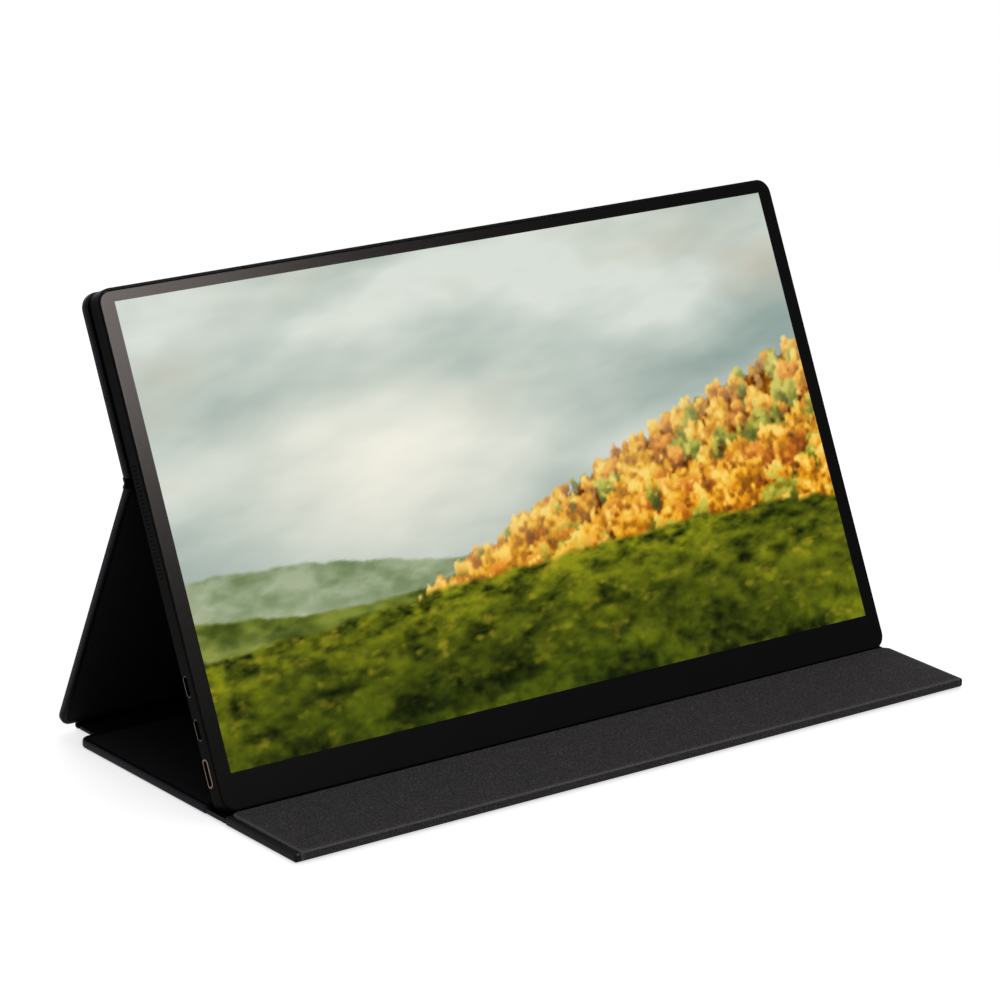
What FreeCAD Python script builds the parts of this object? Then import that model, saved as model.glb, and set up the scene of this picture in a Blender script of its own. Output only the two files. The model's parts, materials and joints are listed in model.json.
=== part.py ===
"""Portable monitor standing in its folding cover, as an assembly of separate pieces.

The row frame has +X to the right, +Z up and the screen facing -Y. The origin is under the middle
of the whole footprint, on the table. The cover pieces and the display pieces are each drawn flat in
a frame of their own and then placed at rest:
  base frame     y along the table from the display's lower front edge, z from the table
  strut frame    y along the strut from the rear crease, z from its outer face
  display frame  y up the screen from its lower edge, z from its back face
"""
import FreeCAD, Part
import math
import os
import Sketcher

doc = FreeCAD.newDocument("portable_monitor")
sheet = doc.addObject("Spreadsheet::Sheet", "Sizes")

# Driving dimensions, in millimetres and degrees
SIZES = {
    # The display as a whole
    "display_width": 359.0,
    "display_height": 214.9,
    "display_thick": 9.0,
    "display_corner": 6.5,
    "display_lean": 26.2,
    "taper_depth": 2.6,
    "taper_inset": 4.5,
    "shell_wall": 1.0,
    "shell_back": 0.9,
    "shell_inner_slope": 0.3,
    "rim_round": 0.45,
    # The panel stack behind the glass
    "side_border": 7.42,
    "top_border": 5.91,
    "bottom_border": 15.4,
    "glass_thick": 0.8,
    "glass_gap": 0.3,
    "glass_round": 0.25,
    "tape_thick": 0.3,
    "cell_thick": 0.9,
    "cell_margin": 2.0,
    "cell_ledge": 6.5,
    "film_thick": 0.3,
    "film_margin": 1.5,
    "guide_thick": 0.6,
    "guide_ledge": 3.0,
    "reflector_thick": 0.2,
    "tray_thick": 0.3,
    "sheet_corner": 1.0,
    "led_width": 1.6,
    "led_gap": 0.2,
    "led_end_inset": 7.0,
    "frame_thick": 1.5,
    "frame_gap": 0.05,
    "frame_opening_gap": 0.3,
    # Boards and sockets behind the panel
    "boss_height": 0.85,
    "boss_radius": 2.0,
    "board_thick": 0.8,
    "board_width": 104.0,
    "board_height": 60.0,
    "board_low": 8.0,
    "board_side_inset": 4.2,
    "screw_inset": 4.0,
    "screw_head_radius": 1.5,
    "screw_head_thick": 0.6,
    "screw_core_radius": 0.7,
    "screw_length": 1.2,
    "screw_gap": 0.1,
    "socket_depth": 7.4,
    "socket_high": 3.0,
    "socket_wall": 0.3,
    "socket_recess": 0.35,
    "socket_gap": 0.2,
    "socket_back": 1.0,
    "tongue_high": 0.7,
    "tongue_length": 4.6,
    "usb_long": 8.9,
    "usb_tongue_long": 6.6,
    "usb_upper_place": 52.8,
    "usb_lower_place": 35.0,
    "hdmi_long": 11.2,
    "hdmi_tongue_long": 8.2,
    "hdmi_place": 17.3,
    "chip_side": 14.0,
    "chip_thick": 1.1,
    "driver_long": 236.0,
    "driver_high": 4.8,
    "driver_low": 2.8,
    "ribbon_width": 24.0,
    "ribbon_thick": 0.25,
    "ribbon_bend": 1.0,
    "ribbon_lap": 8.0,
    # Speakers and their side grilles
    "speaker_place": 120.0,
    "speaker_long": 46.0,
    "speaker_deep": 13.0,
    "speaker_high": 3.6,
    "speaker_corner": 2.0,
    "speaker_ear": 6.0,
    "speaker_side_inset": 3.4,
    "cone_long": 30.0,
    "cone_wide": 6.0,
    "cone_drop": 0.5,
    "gasket_wall": 0.7,
    "grille_long": 56.0,
    "grille_wide": 3.2,
    "grille_thick": 0.8,
    "grille_gap": 0.05,
    "grille_front_inset": 2.0,
    "hole_radius": 0.42,
    "hole_pitch": 1.7,
    "hole_row_gap": 1.5,
    "gasket_lift": 0.5,
    # Buttons on the right edge
    "button_long": 11.0,
    "button_wide": 2.4,
    "button_proud": 0.5,
    "button_travel": 0.35,
    "button_gap": 0.2,
    "button_flange": 0.8,
    "button_flange_thick": 0.7,
    "button_place": 33.0,
    "button_pitch": 16.0,
    "button_rise": 0.45,
    "button_board_deep": 7.0,
    "button_board_long": 58.0,
    "switch_side": 4.2,
    "switch_high": 2.9,
    "switch_plunger": 0.9,
    "plunger_long": 2.1,
    "plunger_wide": 1.2,
    # Magnets that hold the cover to the display
    "magnet_long": 22.0,
    "magnet_wide": 6.0,
    "magnet_thick": 1.5,
    "magnet_corner": 0.05,
    "magnet_gap": 0.05,
    "magnet_pitch": 88.0,
    "magnet_drop": 37.4,
    # Cover panels
    "cover_side_reach": 0.7,
    "panel_thick": 3.6,
    "strut_thick": 3.3,
    "base_thick": 3.6,
    "flap_thick": 4.7,
    "skin_thick": 0.6,
    "lining_thick": 0.4,
    "turned_edge": 2.6,
    "edge_round": 1.0,
    "inner_corner": 1.6,
    "back_top_corner": 6.8,
    "back_overhang": 0.5,
    "crease_corner": 1.2,
    "strut_corner": 5.5,
    "base_corner": 5.0,
    "flap_front_corner": 1.2,
    "fabric_inset": 2.4,
    "fabric_thick": 0.9,
    "fabric_rear_inset": 0.2,
    "fabric_lip_corner": 0.3,
    "fabric_corner": 3.5,
    "fabric_front_wrap": 3.6,
    "fabric_round": 0.8,
    "flap_length": 48.4,
    "flap_magnet_inset": 9.0,
    # Creases
    "crease_thick": 0.8,
    "crease_lift": 0.1,
    "back_length": 76.1,
    "crease_reach": 1.6,
    "strut_slope": 67.88,
    "strut_foot_reach": 4.4,
    "spine_width": 12.0,
    "spine_thick": 1.6,
    "spine_inset": 10.5,
    "spine_corner": 1.5,
    "spine_round": 0.4,
    "spine_rear_reach": 2.5,
    "flap_reach": 0.4,
    "flap_axis_gap": 0.6,
    "groove_width": 12.0,
    "foot_gap": 0.2,
    # Cuts reach this far past what they cut, and edges are found within this distance
    "overrun": 1.0,
    "level_gap": 0.0001,
}

# Counts and shares, which have no unit
GRILLE_HOLES = 28
GRILLE_ROWS = 2
MAGNET_COUNT = 4
SLOT_END_SHARE = 0.48

# Sockets from the top down, each with its length and place, and their tongues
SOCKETS = (
    ("usb_c_socket_upper", "usb_long", "usb_upper_place"),
    ("usb_c_socket_lower", "usb_long", "usb_lower_place"),
    ("mini_hdmi_socket", "hdmi_long", "hdmi_place"),
)
TONGUES = {"usb_long": "usb_tongue_long", "hdmi_long": "hdmi_tongue_long"}

# Chips and ribbon on the main board, as shares of its width and height
CHIP_SHARES = ((0.34, 0.68), (0.6, 0.68), (0.44, 0.3))
RIBBON_SHARE = 0.74

# Buttons from the lowest up
BUTTONS = ("power_button", "plus_button", "minus_button")


def fill_sheet():
    """Write each driving dimension in its own named cell."""
    for row, (alias, number) in enumerate(SIZES.items(), start=1):
        sheet.set(f"A{row}", alias.replace("_", " "))
        sheet.set(f"B{row}", str(number))
        sheet.setAlias(f"B{row}", alias)
    doc.recompute()


def size(expression):
    """Name the sheet's cells in an expression: every known alias gets the sheet's prefix."""
    words = []
    word = ""
    for mark in expression + " ":
        if mark.isalnum() or mark == "_":
            word += mark
            continue
        words.append(f"Sizes.{word}" if word in SIZES else word)
        words.append(mark)
        word = ""
    return "".join(words).strip()


def value(expression):
    """Work an expression out to a plain number of millimetres or degrees."""
    answer = sheet.evalExpression(size(expression))
    return float(getattr(answer, "Value", answer))


# Levels in the display frame, from the glass back to the boards
GLASS_LOW = "(display_thick - glass_thick)"
TAPE_LOW = f"({GLASS_LOW} - tape_thick)"
CELL_LOW = f"({TAPE_LOW} - cell_thick)"
FILM_LOW = f"({CELL_LOW} - film_thick)"
GUIDE_LOW = f"({FILM_LOW} - guide_thick)"
REFLECTOR_LOW = f"({GUIDE_LOW} - reflector_thick)"
TRAY_LOW = f"({REFLECTOR_LOW} - tray_thick)"
FRAME_LOW = f"({TAPE_LOW} - frame_thick)"
BOARD_LOW = "(shell_back + boss_height)"
BOARD_TOP = f"({BOARD_LOW} + board_thick)"

# Places across and up the display
DISPLAY_SIDE = "(display_width / 2)"
WALL_INSIDE = f"({DISPLAY_SIDE} - shell_wall)"
GLASS_INSET = "(shell_wall + glass_gap)"
FRAME_INSET = "(shell_wall + frame_gap)"
ACTIVE_WIDTH = "(display_width - 2 * side_border)"
ACTIVE_TOP = "(display_height - top_border)"
CELL_FOOT = "(bottom_border - cell_ledge)"
CELL_TOP = f"({ACTIVE_TOP} + cell_margin)"
CELL_WIDTH = f"({ACTIVE_WIDTH} + 2 * cell_margin)"
GUIDE_FOOT = "(bottom_border - guide_ledge)"
FILM_WIDTH = f"({ACTIVE_WIDTH} + 2 * film_margin)"
FILM_TOP = f"({ACTIVE_TOP} + film_margin)"
BOARD_LEFT = f"(board_side_inset - {DISPLAY_SIDE})"
BOARD_SCREWS_LEFT = f"({BOARD_LEFT} + socket_depth + screw_inset)"
BOARD_SCREWS_RIGHT = f"({BOARD_LEFT} + board_width - screw_inset)"
SPEAKER_FACE = f"({DISPLAY_SIDE} - speaker_side_inset)"
SPEAKER_SCREW = f"({SPEAKER_FACE} - speaker_deep / 2)"
SPEAKER_EAR_REACH = "(speaker_long / 2 + speaker_ear / 2)"
GRILLE_LOW = "(display_thick - grille_front_inset - grille_wide)"
KEY_OUTSIDE = f"({DISPLAY_SIDE} + button_proud)"
KEY_FLANGE_OUT = f"({WALL_INSIDE} - frame_gap)"
KEY_FLANGE_IN = f"({KEY_FLANGE_OUT} - button_flange_thick)"
SWITCH_TIP = f"({KEY_FLANGE_IN} - button_travel - frame_gap)"
SWITCH_FRONT = f"({SWITCH_TIP} - switch_plunger)"
KEY_BOARD_RIGHT = f"({DISPLAY_SIDE} - board_side_inset)"
KEY_BOARD_SCREW = f"({KEY_BOARD_RIGHT} - button_board_deep / 2)"
KEY_ROW_MIDDLE = f"(button_place + button_pitch * {(len(BUTTONS) - 1) / 2})"
KEY_LOW = f"({BOARD_TOP} + button_rise)"

# The folded cover: crease axes lie at half the crease's thickness
COVER_WIDTH = "(display_width + 2 * cover_side_reach)"
BACK_TOP = "(display_height + back_overhang)"
BACK_FOOT = f"({BACK_TOP} - back_length)"
CREASE_PLACE = f"({BACK_FOOT} - crease_reach)"
MAGNET_PLACE = f"({BACK_TOP} - magnet_drop)"
AXIS_HEIGHT = "(crease_lift + crease_thick / 2)"
FOOT_LEVEL = (
    "(crease_lift + crease_thick + foot_gap"
    " + (display_thick - taper_depth) * sin(display_lean))"
)
AXIS_DEPTH = f"(display_thick + panel_thick - {AXIS_HEIGHT})"
BACK_AXIS_Y = f"({CREASE_PLACE} * sin(display_lean) + {AXIS_DEPTH} * cos(display_lean))"
BACK_AXIS_RISE = (
    f"({FOOT_LEVEL} + {CREASE_PLACE} * cos(display_lean)"
    f" - {AXIS_DEPTH} * sin(display_lean) - {AXIS_HEIGHT})"
)
STRUT_LENGTH = f"({BACK_AXIS_RISE} / sin(strut_slope))"
STRUT_TURN = "(180 - strut_slope)"
BACK_TURN = f"(90 - display_lean - {STRUT_TURN})"
STRUT_RUN = f"({BACK_AXIS_RISE} / tan(strut_slope))"
REAR_AXIS_Y = f"({BACK_AXIS_Y} + {STRUT_RUN})"
SPINE_REAR = f"({REAR_AXIS_Y} - spine_rear_reach)"
SPINE_FRONT = f"({SPINE_REAR} - spine_width)"
BASE_AXIS_Y = f"({SPINE_FRONT} - crease_reach)"
BASE_REAR = f"({BASE_AXIS_Y} - crease_reach)"
BASE_FRONT = "groove_width"
FLAP_AXIS_Y = "(-flap_axis_gap)"
FLAP_REAR = f"({FLAP_AXIS_Y} - flap_reach)"
FLAP_FRONT = f"({FLAP_REAR} - flap_length)"
FLAP_SKIN_TOP = "(flap_thick - fabric_thick)"
STRUT_TOP = f"({STRUT_LENGTH} - crease_reach)"
FRAME_SHIFT = f"(-({FLAP_FRONT} + {REAR_AXIS_Y} + crease_thick / 2) / 2)"

pieces = {}


def new_body(label):
    """Start a piece that is made of sketches and features."""
    body = doc.addObject("PartDesign::Body", label)
    body.Label = label
    return body


def new_sketch(body, name, plane, x="0", y="0", z="0"):
    """Lay a sketch on one of the body's own planes, shifted along that plane's axes."""
    sketch = body.newObject("Sketcher::SketchObject", name)
    support = next(feature for feature in body.Origin.OriginFeatures if feature.Role == plane)
    sketch.AttachmentSupport = [(support, "")]
    sketch.MapMode = "FlatFace"
    for axis, place in zip("xyz", (x, y, z)):
        sketch.setExpression(f"AttachmentOffset.Base.{axis}", size(place))
    return sketch


def bind(sketch, constraint, expression):
    """Add a dimension to a sketch and tie it to the sheet."""
    index = sketch.addConstraint(constraint)
    sketch.setExpression(f"Constraints[{index}]", size(expression))


def rounded_rectangle(sketch, width, length, near, far):
    """Draw a rectangle up from the sketch's x axis, symmetric in x, with rounded corners."""
    half, high = value(width) / 2, value(length)
    radii = [value(near), value(far), value(far), value(near)]
    signs = [(1, 0), (1, 1), (-1, 1), (-1, 0)]
    first = sketch.GeometryCount
    arcs = []
    for turn, (radius, (side, end)) in enumerate(zip(radii, signs)):
        centre = FreeCAD.Vector(side * (half - radius), end * (high - radius) + (1 - end) * radius, 0)
        circle = Part.Circle(centre, FreeCAD.Vector(0, 0, 1), radius)
        start = math.radians(90 * turn - 90)
        arcs.append(Part.ArcOfCircle(circle, start, start + math.pi / 2))
    for index, arc in enumerate(arcs):
        sketch.addGeometry(arc)
        following = arcs[(index + 1) % len(arcs)]
        sketch.addGeometry(Part.LineSegment(arc.EndPoint, following.StartPoint))
    count = 2 * len(arcs)
    for index in range(count):
        after = first + (index + 1) % count
        sketch.addConstraint(Sketcher.Constraint("Tangent", first + index, 2, after, 1))
    right, top, left, bottom = (first + 1, first + 3, first + 5, first + 7)
    for way, lines in (("Vertical", (right, left)), ("Horizontal", (top, bottom))):
        for index in lines:
            sketch.addConstraint(Sketcher.Constraint(way, index))
    sketch.addConstraint(Sketcher.Constraint("Equal", first, first + 6))
    sketch.addConstraint(Sketcher.Constraint("Equal", first + 2, first + 4))
    sketch.addConstraint(Sketcher.Constraint("PointOnObject", bottom, 1, -1))
    bind(sketch, Sketcher.Constraint("Radius", first, radii[0]), near)
    bind(sketch, Sketcher.Constraint("Radius", first + 2, radii[1]), far)
    bind(sketch, Sketcher.Constraint("DistanceY", -1, 1, top, 1, high), length)
    bind(sketch, Sketcher.Constraint("DistanceX", -1, 1, right, 1, half), f"({width}) / 2")
    bind(sketch, Sketcher.Constraint("DistanceX", left, 1, -1, 1, half), f"({width}) / 2")


def circles(sketch, places, radius):
    """Draw equal circles, each place being an (x, y) pair of expressions of the sheet."""
    for x, y in places:
        centre = FreeCAD.Vector(value(x), value(y), 0)
        circle = Part.Circle(centre, FreeCAD.Vector(0, 0, 1), value(radius))
        index = sketch.addGeometry(circle)
        bind(sketch, Sketcher.Constraint("Radius", index, circle.Radius), radius)
        for axis, place, now in (("DistanceX", x, centre.x), ("DistanceY", y, centre.y)):
            if now < 0:
                bind(sketch, Sketcher.Constraint(axis, index, 3, -1, 1, -now), f"-({place})")
            else:
                bind(sketch, Sketcher.Constraint(axis, -1, 1, index, 3, now), place)


def extrude(body, kind, sketch, length, back=False, middle=False):
    """Pad or pocket a sketch by a length of the sheet."""
    feature = body.newObject(f"PartDesign::{kind}", f"{sketch.Name}_{kind.lower()}")
    feature.Profile = sketch
    feature.setExpression("Length", size(length))
    feature.Reversed = back
    if middle:
        feature.SideType = "Symmetric"
    return feature


def plate(label, width, front, rear, low, thick, near, far):
    """Make a flat piece with rounded corners, drawn flat in its frame."""
    body = new_body(label)
    sketch = new_sketch(body, f"{label}_outline", "XY_Plane", y=front, z=low)
    rounded_rectangle(sketch, width, f"({rear}) - ({front})", near, far)
    extrude(body, "Pad", sketch, thick)
    return body


def cut_window(body, name, width, front, rear, top, depth, near, far):
    """Sink a rounded rectangle into a flat piece from its upper face."""
    sketch = new_sketch(body, name, "XY_Plane", y=front, z=top)
    rounded_rectangle(sketch, width, f"({rear}) - ({front})", near, far)
    return extrude(body, "Pocket", sketch, depth)


def round_edges(body, radius, wanted):
    """Round the edges of a piece that a test picks by their bounding boxes."""
    doc.recompute()
    tip = body.Tip
    names = [f"Edge{i}" for i, edge in enumerate(tip.Shape.Edges, start=1) if wanted(edge.BoundBox)]
    feature = body.newObject("PartDesign::Fillet", f"{body.Name}_round")
    feature.Base = (tip, names)
    feature.setExpression("Radius", size(radius))
    return feature


def at_level(*levels):
    """Test for edges that lie flat at one of the given heights."""
    heights = [value(level) for level in levels]
    near = value("level_gap")

    def wanted(box):
        return any(abs(box.ZMin - z) + abs(box.ZMax - z) < near for z in heights)

    return wanted


def box(name, x, y, z):
    """Make a block from three (start, end) pairs of expressions."""
    block = doc.addObject("Part::Box", name)
    for prop, axis, (start, end) in zip(("Length", "Width", "Height"), "xyz", (x, y, z)):
        block.setExpression(prop, size(f"({end}) - ({start})"))
        block.setExpression(f"Placement.Base.{axis}", size(start))
    return block


def cylinder(name, radius, height, x, y, z):
    """Make an upright round bar from its foot."""
    bar = doc.addObject("Part::Cylinder", name)
    bar.setExpression("Radius", size(radius))
    bar.setExpression("Height", size(height))
    for axis, place in zip("xyz", (x, y, z)):
        bar.setExpression(f"Placement.Base.{axis}", size(place))
    return bar


def fuse(name, *shapes):
    """Join overlapping or touching solids into one."""
    joined = doc.addObject("Part::MultiFuse", name)
    joined.Shapes = list(shapes)
    joined.Refine = True
    return joined


def cut(name, base, tool):
    """Cut one solid with another."""
    result = doc.addObject("Part::Cut", name)
    result.Base = base
    result.Tool = tool
    return result


def group(label, solids):
    """Keep separate like solids in one piece."""
    compound = doc.addObject("Part::Compound", label)
    compound.Label = label
    compound.Links = solids
    return compound


def keep(frame, *objects):
    """List finished pieces under the frame that places them at rest."""
    pieces.setdefault(frame, []).extend(objects)


def cover_panel(name, frame, front, rear, low, thick, near, far):
    """Make one stiff panel of the cover: turned skin, board and lining.

    Returns the board, for pieces that are let into it.
    """
    top = f"({low} + {thick})"
    skin = plate(f"{name}_skin", COVER_WIDTH, front, rear, low, thick, near, far)
    round_edges(skin, "edge_round", at_level(low, top))
    window = (
        f"{COVER_WIDTH} - 2 * turned_edge",
        f"({front} + turned_edge)",
        f"({rear} - turned_edge)",
    )
    corners = (f"max({near} - turned_edge; inner_corner)", f"max({far} - turned_edge; inner_corner)")
    cut_window(skin, f"{name}_seat", *window, top, f"{thick} - skin_thick", *corners)
    board_low = f"({low} + skin_thick)"
    board = plate(f"{name}_board", *window, board_low, f"{thick} - skin_thick - lining_thick", *corners)
    lining = plate(f"{name}_lining", *window, f"({top} - lining_thick)", "lining_thick", *corners)
    keep(frame, skin, board, lining)
    return board


def bar_magnets(label, frame, board, middle, top):
    """Let a row of bar magnets into a board, flush with its upper face."""
    bars = []
    for index in range(MAGNET_COUNT):
        x = f"(magnet_pitch * {index - (MAGNET_COUNT - 1) / 2})"
        span = (f"{x} - magnet_long / 2", f"{x} + magnet_long / 2")
        rows = (f"{middle} - magnet_wide / 2", f"{middle} + magnet_wide / 2")
        bars.append(box(f"{label}_{index}", span, rows, (f"{top} - magnet_thick", top)))
        if board:
            foot = f"({rows[0]} - magnet_gap)"
            seat = new_sketch(board, f"{label}_seat_{index}", "XY_Plane", x=x, y=foot, z=top)
            seat_size = ("magnet_long + 2 * magnet_gap", "magnet_wide + 2 * magnet_gap")
            rounded_rectangle(seat, *seat_size, "magnet_corner", "magnet_corner")
            extrude(board, "Pocket", seat, "magnet_thick")
    keep(frame, group(label, bars))


def make_cover():
    """Make the four panels, the spine and the creases that join them."""
    cover_panel(
        "base", "base", BASE_FRONT, BASE_REAR, "0", "base_thick", "crease_corner", "base_corner"
    )
    cover_panel(
        "strut", "strut", "strut_foot_reach", STRUT_TOP, "0", "strut_thick", "strut_corner", "crease_corner"
    )
    back_board = cover_panel(
        "back", "display", BACK_FOOT, BACK_TOP, "(-panel_thick)", "panel_thick",
        "crease_corner", "back_top_corner",
    )
    bar_magnets("back_magnets", "display", back_board, MAGNET_PLACE, "(-lining_thick)")
    make_flap()
    make_spine()
    make_creases()


def make_flap():
    """Make the front flap: skin tray, board, closing magnets and the fabric over its front edge."""
    front = f"({FLAP_FRONT} + fabric_thick)"
    skin = plate(
        "flap_skin", COVER_WIDTH, front, FLAP_REAR, "0", FLAP_SKIN_TOP,
        "flap_front_corner", "crease_corner",
    )
    round_edges(skin, "edge_round", at_level("0", FLAP_SKIN_TOP))
    window = (
        f"{COVER_WIDTH} - 2 * turned_edge",
        f"({front} + turned_edge)",
        f"({FLAP_REAR} - turned_edge)",
    )
    depth = f"{FLAP_SKIN_TOP} - skin_thick"
    cut_window(skin, "flap_seat", *window, FLAP_SKIN_TOP, depth, "inner_corner", "inner_corner")
    board = plate("flap_board", *window, "skin_thick", depth, "inner_corner", "inner_corner")
    bar_magnets("flap_magnets", "flap", board, f"({front} + flap_magnet_inset)", FLAP_SKIN_TOP)
    rear = f"({FLAP_REAR} - fabric_rear_inset)"
    fabric = plate(
        "flap_fabric", f"{COVER_WIDTH} - 2 * fabric_inset", FLAP_FRONT, rear, FLAP_SKIN_TOP,
        "fabric_thick", "flap_front_corner", "fabric_corner",
    )
    lip = new_sketch(fabric, "fabric_lip", "XY_Plane", y=FLAP_FRONT, z=FLAP_SKIN_TOP)
    lip_width = f"{COVER_WIDTH} - 2 * fabric_inset - 2 * flap_front_corner"
    rounded_rectangle(lip, lip_width, "fabric_thick", "fabric_lip_corner", "fabric_lip_corner")
    extrude(fabric, "Pad", lip, "fabric_front_wrap", back=True)
    round_edges(fabric, "fabric_round", at_level("flap_thick"))
    keep("flap", skin, board, fabric)


def make_spine():
    """Make the narrow strip between the two rear creases."""
    spine = plate(
        "spine_strip", f"{COVER_WIDTH} - 2 * spine_inset", SPINE_FRONT, SPINE_REAR, "0", "spine_thick",
        "spine_corner", "spine_corner",
    )
    round_edges(spine, "spine_round", at_level("0", "spine_thick"))
    keep("base", spine)


def bent_crease(name, near, far, width, axis_y, axis_z, angle):
    """Make a folded strip: a flat leg, a round fold about the axis and a second leg turned up."""
    half = f"({width}) / 2"
    rows = (f"{axis_z} - crease_thick / 2", f"{axis_z} + crease_thick / 2")
    span = (f"-{half}", half)
    first = box(f"{name}_leg", span, (f"{axis_y} - {near}", axis_y), rows)
    second = box(f"{name}_turned_leg", span, ("0", far), ("0", "crease_thick"))
    fold = cylinder(f"{name}_fold", "crease_thick / 2", width, f"-{half}", axis_y, axis_z)
    fold.Placement.Rotation = FreeCAD.Rotation(FreeCAD.Vector(0, 1, 0), 90)
    turn = FreeCAD.Rotation(FreeCAD.Vector(1, 0, 0), value(angle))
    corner = FreeCAD.Vector(-value(half), 0, -value("crease_thick") / 2)
    for axis in "xyz":
        second.setExpression(f"Placement.Base.{axis}", None)
    axis = FreeCAD.Vector(0, value(axis_y), value(axis_z))
    second.Placement = FreeCAD.Placement(axis + turn.multVec(corner), turn)
    crease = fuse(name, first, second, fold)
    crease.Label = name
    return crease


def make_creases():
    """Make the four flexible creases, each in the frame of the piece that it starts from."""
    level = ("crease_lift", "crease_lift + crease_thick")
    full = f"({COVER_WIDTH} / 2 - edge_round)"
    inset = f"({COVER_WIDTH} / 2 - spine_inset)"
    front = box("front_crease", (f"-{full}", full), (FLAP_REAR, BASE_FRONT), level)
    base = box("base_crease", (f"-{inset}", inset), (BASE_REAR, SPINE_FRONT), level)
    rear = bent_crease(
        "rear_crease", "spine_rear_reach", "strut_foot_reach", f"(2 * {inset})", REAR_AXIS_Y, AXIS_HEIGHT,
        STRUT_TURN,
    )
    back = bent_crease(
        "back_crease", "crease_reach", "crease_reach", f"(2 * {full})", STRUT_LENGTH, AXIS_HEIGHT,
        BACK_TURN,
    )
    keep("base", front, base, rear)
    keep("strut", back)


def make_shell():
    """Make the display's rear shell: tapered back, thin wall, sockets, grille slots and bosses."""
    shell = new_body("back_shell")
    outline = new_sketch(shell, "shell_outline", "XY_Plane", z="taper_depth")
    rounded_rectangle(outline, "display_width", "display_height", "display_corner", "display_corner")
    extrude(shell, "Pad", outline, "display_thick - taper_depth")
    taper_loft(shell, "AdditiveLoft", "shell_taper", "0", "taper_depth", "0", "taper_inset")
    round_edges(shell, "rim_round", at_level("display_thick"))
    inner_top = "(taper_depth + shell_inner_slope)"
    hollow = new_sketch(shell, "shell_hollow", "XY_Plane", y="shell_wall", z="display_thick")
    rounded_rectangle(
        hollow, "display_width - 2 * shell_wall", "display_height - 2 * shell_wall",
        "display_corner - shell_wall", "display_corner - shell_wall",
    )
    extrude(shell, "Pocket", hollow, f"display_thick - {inner_top}")
    taper_loft(
        shell, "SubtractiveLoft", "shell_inner_taper", "shell_back", inner_top,
        "shell_wall", "(taper_inset + shell_inner_slope)",
    )
    bosses = new_sketch(shell, "shell_bosses", "XY_Plane", z="shell_back")
    circles(bosses, screw_places(), "boss_radius")
    extrude(shell, "Pad", bosses, "boss_height")
    pilots = new_sketch(shell, "shell_pilots", "XY_Plane", z=BOARD_LOW)
    circles(pilots, screw_places(), "screw_core_radius + screw_gap")
    extrude(shell, "Pocket", pilots, "boss_height")
    cut_side_openings(shell)
    keep("display", shell)


def taper_loft(shell, kind, name, low, high, wide_inset, narrow_inset):
    """Loft between two rounded outlines, wide at the high level and narrow at the low one."""
    sections = []
    for level, inset in ((high, wide_inset), (low, narrow_inset)):
        sketch = new_sketch(shell, f"{name}_{len(sections)}", "XY_Plane", y=inset, z=level)
        rounded_rectangle(
            sketch, f"display_width - 2 * {inset}", f"display_height - 2 * {inset}",
            f"display_corner - {inset}", f"display_corner - {inset}",
        )
        sections.append(sketch)
    loft = shell.newObject(f"PartDesign::{kind}", name)
    loft.Profile = sections[0]
    loft.Sections = sections[1:]
    loft.Ruled = True


def screw_places():
    """List the places of all the small screws: main board, speakers and button board."""
    places = []
    for x in (BOARD_SCREWS_LEFT, BOARD_SCREWS_RIGHT):
        for y in ("board_low + screw_inset", "board_low + board_height - screw_inset"):
            places.append((x, y))
    for side in ("-", ""):
        for way in ("-", "+"):
            places.append((f"{side}{SPEAKER_SCREW}", f"speaker_place {way} {SPEAKER_EAR_REACH}"))
    for way in ("-", "+"):
        reach = "(button_board_long / 2 - screw_inset)"
        places.append((KEY_BOARD_SCREW, f"{KEY_ROW_MIDDLE} {way} {reach}"))
    return places


def side_slot(body, name, kind, x, middle, low, long, wide, depth, back=False):
    """Pad or pocket an upright slot outline along X, from a plane square to X."""
    sketch = new_sketch(body, name, "YZ_Plane", x=middle, y=low, z=x)
    end = f"{SLOT_END_SHARE} * ({wide})"
    rounded_rectangle(sketch, long, wide, end, end)
    return extrude(body, kind, sketch, depth, back=back)


def cut_side_openings(shell):
    """Cut the socket mouths, the two grille slots and the button openings through the side walls."""
    outside = f"({DISPLAY_SIDE} + overrun)"
    through = "2 * overrun + shell_wall"
    for name, long, place in SOCKETS:
        side_slot(
            shell, f"{name}_mouth", "Pocket", f"-{outside}", place, f"{BOARD_TOP} - socket_gap",
            f"{long} + 2 * socket_gap", "socket_high + 2 * socket_gap", through, back=True,
        )
    slot = new_sketch(shell, "grille_slots", "YZ_Plane", x="speaker_place", y=GRILLE_LOW)
    end = f"{SLOT_END_SHARE} * grille_wide"
    rounded_rectangle(slot, "grille_long", "grille_wide", end, end)
    extrude(shell, "Pocket", slot, f"2 * {outside}", middle=True)
    for index in range(len(BUTTONS)):
        side_slot(
            shell, f"button_opening_{index}", "Pocket", outside, key_place(index),
            f"{KEY_LOW} - button_gap", "button_long + 2 * button_gap",
            "button_wide + 2 * button_gap", through,
        )


def key_place(index):
    """Give the height of one button's middle up the right edge."""
    return f"(button_place + button_pitch * {index})"


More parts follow.
